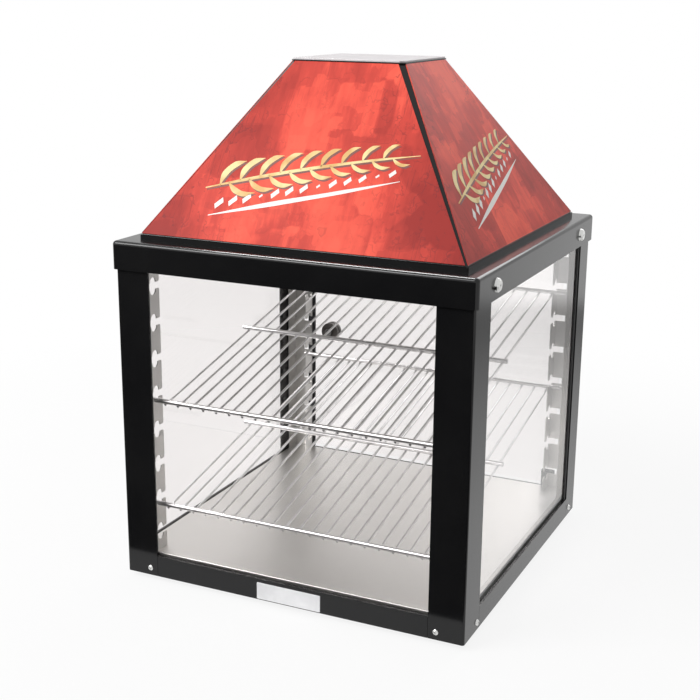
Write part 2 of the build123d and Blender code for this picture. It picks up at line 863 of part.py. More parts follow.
def make_hood():
    with BuildPart() as hood:
        with BuildSketch(Plane.XY.offset(cap_top)) as band:
            Rectangle(sign_base_width, sign_base_depth)
            chamfer(band.vertices(), strip_leg_bottom)
        extrude(amount=sign_band_height)
        loft([sign_section(sign_bottom, panel_sheet), sign_section(rim_bottom, panel_sheet)], ruled=True)
        rim_x, rim_y = sign_half(rim_bottom)
        with BuildSketch(Plane.XY.offset(rim_bottom)) as rim:
            Rectangle(2 * rim_x, 2 * rim_y)
            chamfer(rim.vertices(), strip_leg_top)
        extrude(amount=sign_rim)
    with BuildPart() as hollow:
        low_section = sign_section(sign_bottom, panel_sheet + steel)
        high_section = sign_section(rim_bottom, panel_sheet + steel)
        loft([low_section, high_section], ruled=True)
        inner_x, inner_y = sign_half(sign_bottom, panel_sheet + steel)
        with BuildSketch(Plane.XY.offset(cap_top + steel)) as well:
            Rectangle(2 * inner_x, 2 * inner_y)
            chamfer(well.vertices(), strip_leg_bottom)
        extrude(amount=sign_band_height - steel)
        with BuildSketch(Plane.XY.offset(cap_top)):
            Rectangle(sign_base_width - 2 * sign_flange, sign_base_depth - 2 * sign_flange)
        extrude(amount=steel)
    with BuildPart() as shell:
        add(hood.part)
        add(hollow.part, mode=Mode.SUBTRACT)
        add_control_cuts(cut_overrun, -steel - 3 * cut_overrun)
    keep(shell, "sign_hood")


def sloped_face(side):
    """The plane and the trapezoid of one slanted face of the hood."""
    low_x, low_y = sign_half(sign_bottom, panel_sheet)
    high_x, high_y = sign_half(rim_bottom, panel_sheet)
    low_leg = strip_leg(sign_bottom)
    high_leg = strip_leg(rim_bottom)
    rise = rim_bottom - sign_bottom
    if side in ("front", "rear"):
        sign = -1 if side == "front" else 1
        plane = Plane(
            origin=(0, sign * low_y, sign_bottom),
            x_dir=(-sign, 0, 0),
            z_dir=(0, sign * cos(front_slope), sin(front_slope)),
        )
        length = rise / cos(front_slope)
        return plane, low_x - low_leg, high_x - high_leg, length
    sign = 1 if side == "right" else -1
    plane = Plane(
        origin=(sign * low_x, 0, sign_bottom),
        x_dir=(0, sign, 0),
        z_dir=(sign * cos(side_slope), 0, sin(side_slope)),
    )
    length = rise / cos(side_slope)
    return plane, low_y - low_leg, high_y - high_leg, length


def make_sign_panel(name, side):
    plane, low_half, high_half, length = sloped_face(side)
    foot = sign_panel_margin
    head = length - sign_panel_margin
    with BuildPart() as panel:
        with BuildSketch(plane):
            with BuildLine():
                Polyline(
                    (-low_half + seam_gap, foot),
                    (low_half - seam_gap, foot),
                    (high_half - seam_gap, head),
                    (-high_half + seam_gap, head),
                    close=True,
                )
            make_face()
        extrude(amount=panel_sheet)
        if side == "rear":
            add_control_cuts(-cut_overrun, panel_sheet + 2 * cut_overrun)
    keep(panel, name)


def make_top_plate():
    half_x, half_y = sign_half(rim_bottom)
    with BuildPart() as plate:
        with BuildSketch(Plane.XY.offset(rim_bottom + sign_rim)) as outline:
            Rectangle(2 * (half_x - top_plate_margin), 2 * (half_y - top_plate_margin))
            chamfer(outline.vertices(), strip_leg_top)
        extrude(amount=top_plate_thickness)
        fillet(plate.faces().sort_by(Axis.Z)[-1].edges(), top_plate_round)
    keep(plate, "hood_top_plate")


# Rear door: a pane in an edge trim, on two pivot clips

door_inner_y = shelf_post_back_y + door_stand_off
door_free_edge = shelf_post_inner_x + door_lap
hinge_x = shelf_post_inner_x + hinge_offset
hinge_y = door_inner_y + glass_sheet / 2
knob_x = door_free_edge - knob_inset
knob_height = base_top + knob_rise
door_low = base_top + door_bottom_gap
door_high = skirt_bottom - door_top_gap
door_glass_low = door_low + hinge_pin_length + pin_cover
door_glass_high = door_high - hinge_pin_length - pin_cover


def make_door_glass():
    with BuildPart() as pane:
        box_between(
            (-door_free_edge + edge_trim_wall, door_inner_y, door_glass_low),
            (hinge_x + pane_past_hinge, door_inner_y + glass_sheet, door_glass_high),
        )
        chamfer(pane.edges().filter_by(Axis.Z), glass_arris)
        with BuildSketch(Plane.XZ.offset(-door_inner_y)):
            with Locations((-knob_x, knob_height)):
                Circle(screw_shank / 2 + running_gap)
        extrude(amount=-glass_sheet, mode=Mode.SUBTRACT)
    keep(pane, "door_glass")


def make_door_trim():
    outer_y0 = door_inner_y - edge_trim_wall
    outer_y1 = door_inner_y + glass_sheet + edge_trim_wall
    with BuildPart() as trim:
        box_between(
            (-door_free_edge, outer_y0, tray_top + seam_gap),
            (-door_free_edge + edge_trim_width, outer_y1, door_high),
        )
        fillet(trim.edges().filter_by(Axis.Z), edge_trim_round)
        box_between(
            (-door_free_edge + edge_trim_wall, door_inner_y, door_glass_low),
            (-door_free_edge + edge_trim_width + cut_overrun, door_inner_y + glass_sheet, door_glass_high),
            mode=Mode.SUBTRACT,
        )
    keep(trim, "door_edge_trim")


def make_pivot_clip(name, bottom):
    """A clip round the corner of the pane, with a bore for the hinge pin in its outer end."""
    low = door_low if bottom else door_high - clip_height
    pane_low = door_glass_low if bottom else door_glass_high - clip_height
    pane_high = pane_low + clip_height
    bore_low = door_low if bottom else door_high - hinge_pin_length - pin_end_gap
    with BuildPart() as clip:
        with BuildSketch(Plane.XY.offset(low)):
            with Locations((hinge_x - clip_length / 2, hinge_y)):
                Rectangle(clip_length, 2 * hinge_boss_radius)
            with Locations((hinge_x, hinge_y)):
                Circle(hinge_boss_radius)
        extrude(amount=clip_height)
        box_between(
            (hinge_x - clip_length - cut_overrun, door_inner_y, pane_low),
            (hinge_x + pane_past_hinge, door_inner_y + glass_sheet, pane_high),
            mode=Mode.SUBTRACT,
        )
        with BuildSketch(Plane.XY.offset(bore_low)):
            with Locations((hinge_x, hinge_y)):
                Circle(hinge_pin_diameter / 2 + pin_play)
        extrude(amount=hinge_pin_length + pin_end_gap, mode=Mode.SUBTRACT)
    keep(clip, name)


def make_hinge_brackets():
    """A bracket below and one above the door, each with its fixed pin."""
    pin_reach = hinge_y + hinge_boss_radius
    low_x = hinge_x - bracket_width + bracket_side_lap
    high_x = hinge_x + bracket_side_lap
    rear_y = half_depth + steel
    with BuildPart() as lower:
        plate_high = base_top + steel
        front_y = glass_inner_y - tray_side_gap + running_gap
        box_between((low_x, front_y, base_top), (high_x, rear_y, plate_high))
        box_between((low_x, half_depth, base_top - bracket_leg), (high_x, rear_y, plate_high))
        with BuildSketch(Plane.XY.offset(plate_high)):
            with Locations((hinge_x, hinge_y)):
                Circle(hinge_pin_diameter / 2)
        extrude(amount=door_low - plate_high + hinge_pin_length - pin_end_gap)
    keep(lower, "lower_hinge_bracket")
    with BuildPart() as upper:
        plate_low = door_high + pin_end_gap
        inner_x = hinge_x - bracket_inner_reach
        outer_x = inner_x + bracket_width - upper_bracket_trim
        box_between((inner_x, shelf_post_back_y, plate_low), (outer_x, pin_reach, plate_low + steel))
        leaf_y = shelf_post_back_y + steel
        box_between((inner_x, shelf_post_back_y, plate_low), (outer_x, leaf_y, ceiling_bottom))
        with BuildSketch(Plane.XY.offset(plate_low)):
            with Locations((hinge_x, hinge_y)):
                Circle(hinge_pin_diameter / 2)
        extrude(amount=-hinge_pin_length)
    keep(upper, "upper_hinge_bracket")


def make_knob():
    outer_y = door_inner_y + glass_sheet
    groove_y = outer_y + knob_length * knob_groove_share
    place = (-knob_x, knob_height)
    with BuildPart() as knob:
        with BuildSketch(Plane.XZ.offset(-outer_y)):
            with Locations(place):
                Circle(knob_diameter / 2)
        extrude(amount=-knob_length)
        fillet(knob.edges().filter_by(GeomType.CIRCLE).sort_by(Axis.Y)[-1], knob_round)
        with BuildSketch(Plane.XZ.offset(-outer_y)):
            with Locations(place):
                Circle(screw_shank / 2)
        extrude(amount=-knob_bore_depth, mode=Mode.SUBTRACT)
        with BuildSketch(Plane.XZ.offset(knob_groove_width / 2 - groove_y)):
            with Locations(place):
                Circle(knob_diameter / 2 + cut_overrun)
                Circle(knob_diameter / 2 - knob_groove_depth, mode=Mode.SUBTRACT)
        extrude(amount=-knob_groove_width, mode=Mode.SUBTRACT)
    keep(knob, "door_knob")
    with BuildPart() as screw:
        with BuildSketch(Plane.XZ.offset(-door_inner_y)):
            with Locations(place):
                Circle(screw_shank / 2)
        extrude(amount=-glass_sheet - knob_bore_depth + knob_screw_tip_gap)
        with BuildSketch(Plane.XZ.offset(-door_inner_y)):
            with Locations(place):
                Circle(knob_screw_head / 2)
        extrude(amount=knob_screw_head_height)
        with BuildSketch(Plane.XZ.offset(-door_inner_y + knob_screw_head_height)):
            with Locations(place):
                Rectangle(knob_screw_head * knob_recess_share, knob_recess_width)
                Rectangle(knob_recess_width, knob_screw_head * knob_recess_share)
        extrude(amount=-knob_screw_head_height / 2, mode=Mode.SUBTRACT)
    keep(screw, "door_knob_screw")


def make_catch():
    """A magnet on the header and a steel plate on the door that it holds."""
    header_face = shelf_post_back_y - seam_gap
    low_x = -door_free_edge + edge_trim_width + catch_side_gap
    high_x = low_x + catch_length
    high_z = door_glass_high - catch_drop
    low_z = high_z - catch_height
    with BuildPart() as magnet:
        box_between((low_x, header_face, low_z), (high_x, header_face + magnet_thickness, high_z))
    keep(magnet, "door_magnet")
    with BuildPart() as strike:
        box_between((low_x, door_inner_y - strike_thickness, low_z), (high_x, door_inner_y, high_z))
    keep(strike, "door_strike_plate")


# Name plate: bare, on the front rail

def make_name_plate():
    middle_z = foot_height + base_height / 2 - plate_drop
    with BuildPart() as plate:
        with BuildSketch(face_plane("front", half_depth)) as outline:
            with Locations((plate_centre_x, middle_z)):
                RectangleRounded(plate_width, plate_height, plate_corner)
        extrude(amount=plate_thickness)
        fillet(plate.faces().sort_by(Axis.Y)[0].edges(), plate_edge_round)
    keep(plate, "name_plate")


# Fan: guard under the ceiling, blade on a motor that hangs from a bridge

def make_fan():
    blade_low = ceiling_top + fan_above_ceiling
    blade_middle = blade_low + fan_hub_height / 2
    bridge_top = ceiling_top + bridge_height
    fan_radius = fan_opening / 2 - fan_tip_gap
    with BuildPart() as guard:
        with BuildSketch(Plane.XY.offset(ceiling_bottom - guard_thickness)):
            with Locations((fan_x, fan_y)):
                Circle(fan_opening / 2 + guard_lap)
                Circle(fan_opening / 2 - guard_ring_width, mode=Mode.SUBTRACT)
                ring_count = int((fan_opening / 2 - guard_ring_pitch) / guard_ring_pitch)
                for number in range(ring_count):
                    radius = fan_opening / 2 - guard_ring_width - (number + 1) * guard_ring_pitch
                    Circle(radius)
                    Circle(radius - guard_ring_width, mode=Mode.SUBTRACT)
                for number in range(guard_bar_count):
                    Rectangle(fan_opening, guard_bar_width, rotation=number * 180.0 / guard_bar_count)
        extrude(amount=guard_thickness)
    keep(guard, "fan_guard")
    with BuildPart() as blade:
        with BuildSketch(Plane.XY.offset(blade_low)):
            with Locations((fan_x, fan_y)):
                Circle(fan_hub / 2)
        extrude(amount=fan_hub_height)
        root = fan_hub / 2 - fan_root_sink
        for number in range(fan_blade_count):
            turn = radians(number * 360.0 / fan_blade_count)
            out = Plane(
                origin=(fan_x + root * cos(turn), fan_y + root * sin(turn), blade_middle),
                x_dir=(-sin(turn), cos(turn), 0),
                z_dir=(cos(turn), sin(turn), 0),
            )
            with BuildSketch(out):
                Rectangle(fan_root_chord, fan_root_thickness, rotation=fan_root_twist)
            with BuildSketch(out.offset(fan_radius - fan_hub / 2)):
                Rectangle(fan_tip_chord, fan_tip_thickness, rotation=fan_tip_twist)
            loft()
        with BuildSketch(Plane.XY.offset(blade_middle)):
            with Locations((fan_x, fan_y)):
                Circle(fan_shaft / 2)
        extrude(amount=bridge_top + motor_bore_depth - shaft_end_gap - blade_middle)
    keep(blade, "fan_blade")
    with BuildPart() as bridge:
        with BuildSketch(Plane.XY.offset(bridge_top - steel)):
            with Locations((fan_x, fan_y)):
                Rectangle(bridge_length, bridge_width)
                Circle(fan_shaft + bridge_bore_room, mode=Mode.SUBTRACT)
        extrude(amount=steel)
        for end in (-1, 1):
            wall = fan_x + end * (bridge_length - steel) / 2
            box_between(
                (wall - steel / 2, fan_y - bridge_width / 2, ceiling_top),
                (wall + steel / 2, fan_y + bridge_width / 2, bridge_top),
            )
            foot_from, foot_to = sorted((wall, wall + end * bridge_foot))
            box_between(
                (foot_from, fan_y - bridge_width / 2, ceiling_top),
                (foot_to, fan_y + bridge_width / 2, ceiling_top + steel),
            )
    keep(bridge, "fan_bridge")
    with BuildPart() as motor:
        with BuildSketch(Plane.XY.offset(bridge_top)):
            with Locations((fan_x, fan_y)):
                Circle(motor_diameter / 2)
        extrude(amount=motor_height)
        fillet(motor.faces().sort_by(Axis.Z)[-1].edges(), motor_round)
        with BuildSketch(Plane.XY.offset(bridge_top + motor_height * motor_band_from)):
            with Locations((fan_x, fan_y)):
                Circle(motor_diameter / 2 + cut_overrun)
                Circle(motor_diameter / 2 - motor_band_sink, mode=Mode.SUBTRACT)
        extrude(amount=motor_height * motor_band_share, mode=Mode.SUBTRACT)
        with BuildSketch(Plane.XY.offset(bridge_top)):
            with Locations((fan_x, fan_y)):
                Circle(fan_shaft / 2 + pin_play)
        extrude(amount=motor_bore_depth, mode=Mode.SUBTRACT)
    keep(motor, "fan_motor")


# Heater: a bent sheathed element in two saddle plates, with its terminal block

def make_heater():
    tube_z = ceiling_top + heater_lift
    runs = [heater_left_x + number * heater_pitch for number in range(heater_run_count)]
    route_points = [(runs[0], heater_end_y)]
    for number in range(heater_run_count - 1):
        turn_y = heater_front_y if number % 2 == 0 else heater_rear_y
        route_points += [(runs[number], turn_y), (runs[number + 1], turn_y)]
    route_points.append((runs[-1], heater_end_y))
    with BuildPart() as element:
        with BuildLine() as route:
            bend_radius = heater_pitch / 2 - heater_bend_ease
            FilletPolyline(*[(x, y, tube_z) for x, y in route_points], radius=bend_radius)
        with BuildSketch(Plane(origin=route.line @ 0, z_dir=route.line % 0)):
            Circle(heater_tube / 2)
        sweep()
    keep(element, "heater_element")
    with BuildPart() as saddles:
        for place in (-saddle_y, saddle_y):
            with BuildSketch(Plane.XZ.offset(-place)):
                height = heater_lift + saddle_rise
                with Locations((heater_middle_x, ceiling_top + height / 2)):
                    Rectangle(runs[-1] - runs[0] + 2 * saddle_margin, height)
                with Locations(*[(x, tube_z) for x in runs]):
                    Circle(heater_tube / 2 + running_gap, mode=Mode.SUBTRACT)
            extrude(amount=-steel)
    keep(saddles, "heater_saddles")
    with BuildPart() as block:
        middle_y = heater_end_y - terminal_setback
        low_y = middle_y - terminal_width / 2
        box_between(
            (runs[0] + terminal_end_gap, low_y, ceiling_top),
            (runs[-1] - terminal_end_gap, low_y + terminal_width, ceiling_top + terminal_height),
        )
        with BuildSketch(Plane.XY.offset(ceiling_top + terminal_height)):
            with Locations((heater_middle_x, middle_y)):
                with GridLocations(terminal_screw_pitch, terminal_row_pitch, terminal_columns, terminal_rows):
                    Circle(terminal_screw_bore / 2)
        extrude(amount=-terminal_height / 3, mode=Mode.SUBTRACT)
    keep(block, "terminal_block")


# Lamp: socket, bulb and the glass pane under them

def make_lamp():
    lens_high = ceiling_top + lens_thickness
    axis_z = lens_high + bulb_diameter / 2 + bulb_above_lens
    mouth_x = lamp_x - socket_offset
    neck_x = mouth_x - socket_depth
    closed_x = mouth_x - socket_length
    foot_high = axis_z - bulb_neck / 2 - socket_foot_gap
    with BuildPart() as lens:
        half_x = lamp_opening_x / 2 + lens_lap
        half_y = lamp_opening_y / 2 + lens_lap
        near_corner = (lamp_x - half_x, lamp_y - half_y, ceiling_top)
        box_between(near_corner, (lamp_x + half_x, lamp_y + half_y, lens_high))
        chamfer(lens.edges().filter_by(Axis.Z), lens_thickness)
    keep(lens, "lamp_lens")
    with BuildPart() as socket:
        with BuildSketch(Plane.YZ.offset(closed_x)):
            with Locations((lamp_y, axis_z)):
                Circle(socket_diameter / 2)
        extrude(amount=socket_length)
        with BuildSketch(Plane.YZ.offset(neck_x)):
            with Locations((lamp_y, axis_z)):
                Circle(bulb_neck / 2 + seam_gap)
        extrude(amount=socket_depth, mode=Mode.SUBTRACT)
        box_between(
            (closed_x, lamp_y - socket_foot_width / 2, ceiling_top),
            (closed_x + socket_foot_thickness, lamp_y + socket_foot_width / 2, foot_high),
        )
    keep(socket, "lamp_socket")
    with BuildPart() as bulb:
        with BuildSketch(Plane.YZ.offset(neck_x)):
            with Locations((lamp_y, axis_z)):
                Circle(bulb_neck / 2)
        extrude(amount=mouth_x + bulb_reach / 2 - neck_x)
        with Locations((mouth_x + bulb_reach, lamp_y, axis_z)):
            Sphere(bulb_diameter / 2)
    keep(bulb, "lamp_bulb")


# Thermostat, switch, pilot light and power inlet on the back of the sign

def make_thermostat():
    surface = rear_plane(panel_sheet)
    behind = rear_plane(-steel)
    place = (dial_right, controls_up)
    with BuildPart() as body:
        with BuildSketch(behind):
            with Locations(place):
                Circle(thermostat_diameter / 2)
        extrude(amount=-thermostat_depth)
        fillet(body.edges().filter_by(GeomType.CIRCLE).group_by(Axis.Z)[0], thermostat_round)
        with BuildSketch(behind):
            with Locations(place):
                Circle(dial_shaft / 2 + pin_play)
        extrude(amount=-dial_shaft_depth - thermostat_bore_room, mode=Mode.SUBTRACT)
    keep(body, "thermostat_body")
    with BuildPart() as dial:
        with BuildSketch(surface.offset(running_gap)):
            with Locations(place):
                Circle(dial_diameter / 2)
        extrude(amount=dial_skirt)
        with BuildSketch(surface.offset(running_gap + dial_skirt)):
            with Locations(place):
                Circle(dial_diameter / 2 - dial_skirt_ledge)
        extrude(amount=dial_height - dial_skirt, taper=dial_taper)
        with BuildSketch(surface.offset(running_gap + dial_skirt)):
            with Locations(place):
                Rectangle(dial_diameter - dial_grip_inset, dial_grip_width, rotation=90)
        extrude(amount=dial_height - dial_skirt - dial_grip_drop)
        with BuildSketch(surface.offset(running_gap)):
            with Locations(place):
                Circle(dial_shaft / 2)
        extrude(amount=-(running_gap + panel_sheet + steel + dial_shaft_depth))
    keep(dial, "thermostat_dial")


def make_switch():
    surface = rear_plane(panel_sheet)
    place = (switch_right, controls_up)
    with BuildPart() as switch:
        with BuildSketch(surface):
            with Locations(place):
                bezel_width = switch_body_width + 2 * switch_bezel_lap
                bezel_height = switch_body_height + 2 * switch_bezel_lap
                RectangleRounded(bezel_width, bezel_height, switch_bezel_corner)
        extrude(amount=switch_bezel)
        with BuildSketch(surface):
            with Locations(place):
                Rectangle(switch_body_width, switch_body_height)
        extrude(amount=-switch_body_depth)
        with BuildSketch(surface.offset(switch_bezel)):
            with Locations(place):
                Rectangle(rocker_width + 2 * running_gap, rocker_length + switch_end_room)
        extrude(amount=-switch_body_depth / 2, mode=Mode.SUBTRACT)
    keep(switch, "switch_body")
    with BuildPart() as rocker:
        side = Plane(
            origin=surface.from_local_coords((switch_right - rocker_width / 2, controls_up, 0)),
            x_dir=surface.y_dir,
            z_dir=surface.x_dir,
        )
        half = rocker_length / 2
        with BuildSketch(side):
            with BuildLine():
                Polyline(
                    (-half, rocker_low_end),
                    (0, rocker_dip),
                    (half, rocker_high_end),
                    (half - rocker_tuck, -rocker_shoulder),
                    (half / 3, -rocker_belly),
                    (-half / 3, -rocker_belly),
                    (-half + rocker_tuck, -rocker_shoulder),
                    close=True,
                )
            make_face()
        extrude(amount=rocker_width)
    keep(rocker, "switch_rocker")


def make_pilot_light():
    surface = rear_plane(panel_sheet)
    place = (pilot_right, controls_up)
    with BuildPart() as pilot:
        with BuildSketch(surface):
            with Locations(place):
                Circle(pilot_lens / 2)
        lens = extrude(amount=pilot_rise)
        rims = lens.edges().filter_by(GeomType.CIRCLE)
        fillet(rims.sort_by(lambda e: e.center().dot(surface.z_dir))[-1], pilot_round)
        with BuildSketch(surface):
            with Locations(place):
                Circle(pilot_body / 2)
        extrude(amount=-pilot_depth)
    keep(pilot, "pilot_light")


def make_power_inlet():
    surface = rear_plane(panel_sheet)
    place = (inlet_right, controls_up)
    well_depth = inlet_body_depth - inlet_flange - inlet_floor
    with BuildPart() as inlet:
        with BuildSketch(surface):
            with Locations(place):
                RectangleRounded(inlet_flange_width, inlet_flange_height, inlet_flange_corner)
        extrude(amount=inlet_flange)
        with BuildSketch(surface):
            with Locations(place):
                Rectangle(inlet_body_width, inlet_body_height)
        extrude(amount=-inlet_body_depth)
        with BuildSketch(surface.offset(inlet_flange)) as mouth:
            with Locations(place):
                Rectangle(inlet_mouth_width, inlet_mouth_height)
            chamfer(mouth.vertices().group_by(Axis.Y)[-1], inlet_mouth_corner)
        extrude(amount=-inlet_flange - well_depth, mode=Mode.SUBTRACT)
        with BuildSketch(surface.offset(-well_depth)):
            with Locations((inlet_right, controls_up + inlet_earth_rise)):
                Rectangle(inlet_pin_width, inlet_pin_height)
            for side in (-1, 1):
                with Locations((inlet_right + side * inlet_pin_offset, controls_up - inlet_pin_drop)):
                    Rectangle(inlet_pin_width, inlet_pin_height)
        extrude(amount=well_depth - inlet_pin_tip_gap)
        with BuildSketch(surface.offset(inlet_flange)):
            for side in (-1, 1):
                with Locations((inlet_right + side * inlet_screw_offset, controls_up)):
                    Circle(inlet_screw_radius)
        extrude(amount=-inlet_flange + inlet_screw_floor, mode=Mode.SUBTRACT)
    keep(inlet, "power_inlet")


def main():
    make_base_pan()
    make_screws("base_screws", base_screw_places(), base_screw_length, screw_head, screw_head_height)
    make_screws("cap_screws", cap_screw_places(), cap_screw_length, cap_screw_head, cap_screw_head_height)
    make_feet()
    make_foot_screws()
    make_post("front_left_post", -1, -1, front_post_face, front_post_side)
    make_post("front_right_post", 1, -1, front_post_face, front_post_side)
    make_post("rear_left_post", -1, 1, rear_post_face, rear_post_side)
    make_post("rear_right_post", 1, 1, rear_post_face, rear_post_side)
    make_panes()
    make_gaskets()
    make_floor_tray()
    make_shelf_post("front_left_shelf_post", -1, -1)
    make_shelf_post("front_right_shelf_post", 1, -1)
    make_shelf_post("rear_left_shelf_post", -1, 1)
    make_shelf_post("rear_right_shelf_post", 1, 1)
    make_shelf("upper_shelf", upper_front_notch, upper_rear_notch)
    make_shelf("lower_shelf", lower_front_notch, lower_rear_notch)
    make_ceiling()
    make_door_header()
    make_cap()
    make_hood()
    make_sign_panel("front_sign_panel", "front")
    make_sign_panel("left_sign_panel", "left")
    make_sign_panel("right_sign_panel", "right")
    make_sign_panel("rear_control_panel", "rear")
    make_top_plate()
    make_door_glass()
    make_door_trim()
    make_pivot_clip("lower_pivot_clip", True)
    make_pivot_clip("upper_pivot_clip", False)
    make_hinge_brackets()
    make_knob()
    make_catch()
    make_name_plate()
    make_fan()
    make_heater()
    make_lamp()
    make_thermostat()
    make_switch()
    make_pilot_light()
    make_power_inlet()


main()
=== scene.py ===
import math

import bmesh
import bpy
from mathutils import Matrix, Vector


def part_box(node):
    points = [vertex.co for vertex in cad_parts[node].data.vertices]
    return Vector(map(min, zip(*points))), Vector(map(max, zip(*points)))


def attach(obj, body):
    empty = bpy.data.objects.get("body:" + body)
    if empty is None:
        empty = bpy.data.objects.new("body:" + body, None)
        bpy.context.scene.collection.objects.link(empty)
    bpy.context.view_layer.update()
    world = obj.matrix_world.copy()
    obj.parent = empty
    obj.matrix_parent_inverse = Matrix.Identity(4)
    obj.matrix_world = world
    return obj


bl_info = {
    "name": "Heated display cabinet",
    "version": (1, 0, 0),
    "blender": (4, 5, 0),
    "location": "3D View > Sidebar > Cabinet",
    "description": "Finishes, printed sign and studio for a heated glass display cabinet",
    "category": "Object",
}

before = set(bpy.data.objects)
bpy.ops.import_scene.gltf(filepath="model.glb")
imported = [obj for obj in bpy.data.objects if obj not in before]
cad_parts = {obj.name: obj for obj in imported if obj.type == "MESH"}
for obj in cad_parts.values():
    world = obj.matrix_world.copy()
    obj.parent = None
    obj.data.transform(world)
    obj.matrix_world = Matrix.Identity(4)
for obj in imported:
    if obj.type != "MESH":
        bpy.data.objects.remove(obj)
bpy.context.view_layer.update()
SIDEBAR = "Cabinet"
MM = 0.001
CELL_DISORDER = 0.85
CORNERS = ("front_left", "front_right", "rear_left", "rear_right")


# Shader sums


class Value:
    """A shader socket that carries a number, so that sums on it read as Python."""

    def __init__(self, finish, socket):
        self.finish = finish
        self.socket = socket

    def sum(self, operation, *others, clamp=False):
        inputs = {0: self}
        for place, other in enumerate(others, start=1):
            inputs[place] = other
        node = self.finish.node("ShaderNodeMath", {"operation": operation, "use_clamp": clamp}, inputs)
        return Value(self.finish, node.outputs[0])

    def __add__(self, other):
        return self.sum("ADD", other)

    def __radd__(self, other):
        return self.sum("ADD", other)

    def __sub__(self, other):
        return self.sum("SUBTRACT", other)

    def __rsub__(self, other):
        return (self * -1.0).sum("ADD", other)

    def __mul__(self, other):
        return self.sum("MULTIPLY", other)

    def __rmul__(self, other):
        return self.sum("MULTIPLY", other)

    def __truediv__(self, other):
        return self.sum("DIVIDE", other)

    def __pow__(self, other):
        return self.sum("POWER", other)

    def __abs__(self):
        return self.sum("ABSOLUTE")

    def above(self, edge, width):
        """0 below the edge, 1 above it, with a soft step of that width."""
        return ((self - (edge - width / 2)) / width).sum("ADD", 0.0, clamp=True)

    def below(self, edge, width):
        return 1.0 - self.above(edge, width)

    def larger(self, other):
        return self.sum("MAXIMUM", other)


class Finish:
    """One material, or the world, and the nodes that make it."""

    def __init__(self, name, world=None):
        self.material = world or bpy.data.materials.new(name)
        self.material.use_nodes = True
        self.tree = self.material.node_tree
        self.tree.nodes.clear()
        self.output = self.node("ShaderNodeOutputWorld" if world else "ShaderNodeOutputMaterial")

    def node(self, kind, settings=None, inputs=None):
        """A node of that kind: its settings first, then the values or links of its sockets."""
        made = self.tree.nodes.new(kind)
        for key, value in (settings or {}).items():
            setattr(made, key, value)
        for key, value in (inputs or {}).items():
            socket = made.inputs[key]
            if isinstance(value, Value):
                self.tree.links.new(value.socket, socket)
            elif isinstance(value, bpy.types.NodeSocket):
                self.tree.links.new(value, socket)
            else:
                socket.default_value = value
        return made

    def place(self):
        """Where a point is on the object at rest, in metres."""
        return self.node("ShaderNodeTexCoord").outputs["Object"]

    def facing(self):
        """The direction that a point of the surface faces, as three numbers."""
        return self.axes(self.node("ShaderNodeTexCoord").outputs["Normal"])

    def joined(self, x, y, z):
        """Three numbers as one vector."""
        return self.node("ShaderNodeCombineXYZ", None, {0: x, 1: y, 2: z}).outputs[0]

    def axes(self, vector=None):
        split = self.node("ShaderNodeSeparateXYZ", None, {0: vector or self.place()})
        return [Value(self, output) for output in split.outputs]

    def stretched(self, scale, vector=None):
        """The place scaled by a different factor on each axis."""
        inputs = {0: vector or self.place(), 1: scale}
        return self.node("ShaderNodeVectorMath", {"operation": "MULTIPLY"}, inputs).outputs[0]

    def noise(self, scale, detail=2.0, roughness=0.5, vector=None):
        """A cloudy number from 0 to 1, whose clouds are smaller at a larger scale."""
        node = self.node(
            "ShaderNodeTexNoise",
            {"noise_dimensions": "3D"},
            {"Vector": vector or self.place(), "Scale": scale, "Detail": detail, "Roughness": roughness},
        )
        return Value(self, node.outputs[0])

    def cells(self, scale, vector, softness):
        """A random number from 0 to 1 on each cell of a pattern of square-edged patches."""
        cell = self.node(
            "ShaderNodeTexVoronoi",
            {"distance": "CHEBYCHEV", "feature": "SMOOTH_F1"},
            {"Vector": vector, "Scale": scale, "Smoothness": softness, "Randomness": CELL_DISORDER},
        )
        parts = self.node("ShaderNodeSeparateColor", None, {0: cell.outputs["Color"]})
        return Value(self, parts.outputs[0])

    def mix(self, factor, first, second):
        """Two colours, mixed by a factor."""
        settings = {"data_type": "RGBA", "clamp_factor": True}
        return self.node("ShaderNodeMix", settings, {0: factor, 6: first, 7: second}).outputs[2]

    def mix_shaders(self, factor, first, second):
        """Two shaders, mixed by a factor."""
        return self.node("ShaderNodeMixShader", None, {0: factor, 1: first.outputs[0], 2: second.outputs[0]})

    def bump(self, height, distance, strength):
        inputs = {"Height": height, "Distance": distance, "Strength": strength}
        return self.node("ShaderNodeBump", None, inputs).outputs[0]

    def show(self, shader):
        """A shader as the output of the material or the world."""
        self.tree.links.new(shader.outputs[0], self.output.inputs[0])

    def surface(self, inputs):
        """A Principled surface as the material's output."""
        self.show(self.node("ShaderNodeBsdfPrincipled", None, inputs))

    def ray(self, *kinds):
        """1 on rays of these kinds, such as Is Camera Ray, and 0 on others."""
        path = self.node("ShaderNodeLightPath")
        found = Value(self, path.outputs[kinds[0]])
        for kind in kinds[1:]:
            found = found.larger(Value(self, path.outputs[kind]))
        return found


def colour(red, green, blue):
    return (red, green, blue, 1.0)


def grey(level):
    return colour(level, level, level)


WHITE = grey(1.0)


def give(finish, *nodes):
    """Put a finish on CAD nodes."""
    for name in nodes:
        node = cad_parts[name]
        node.data.materials.clear()
        node.data.materials.append(finish.material)


# Sizes and colours that a user may change


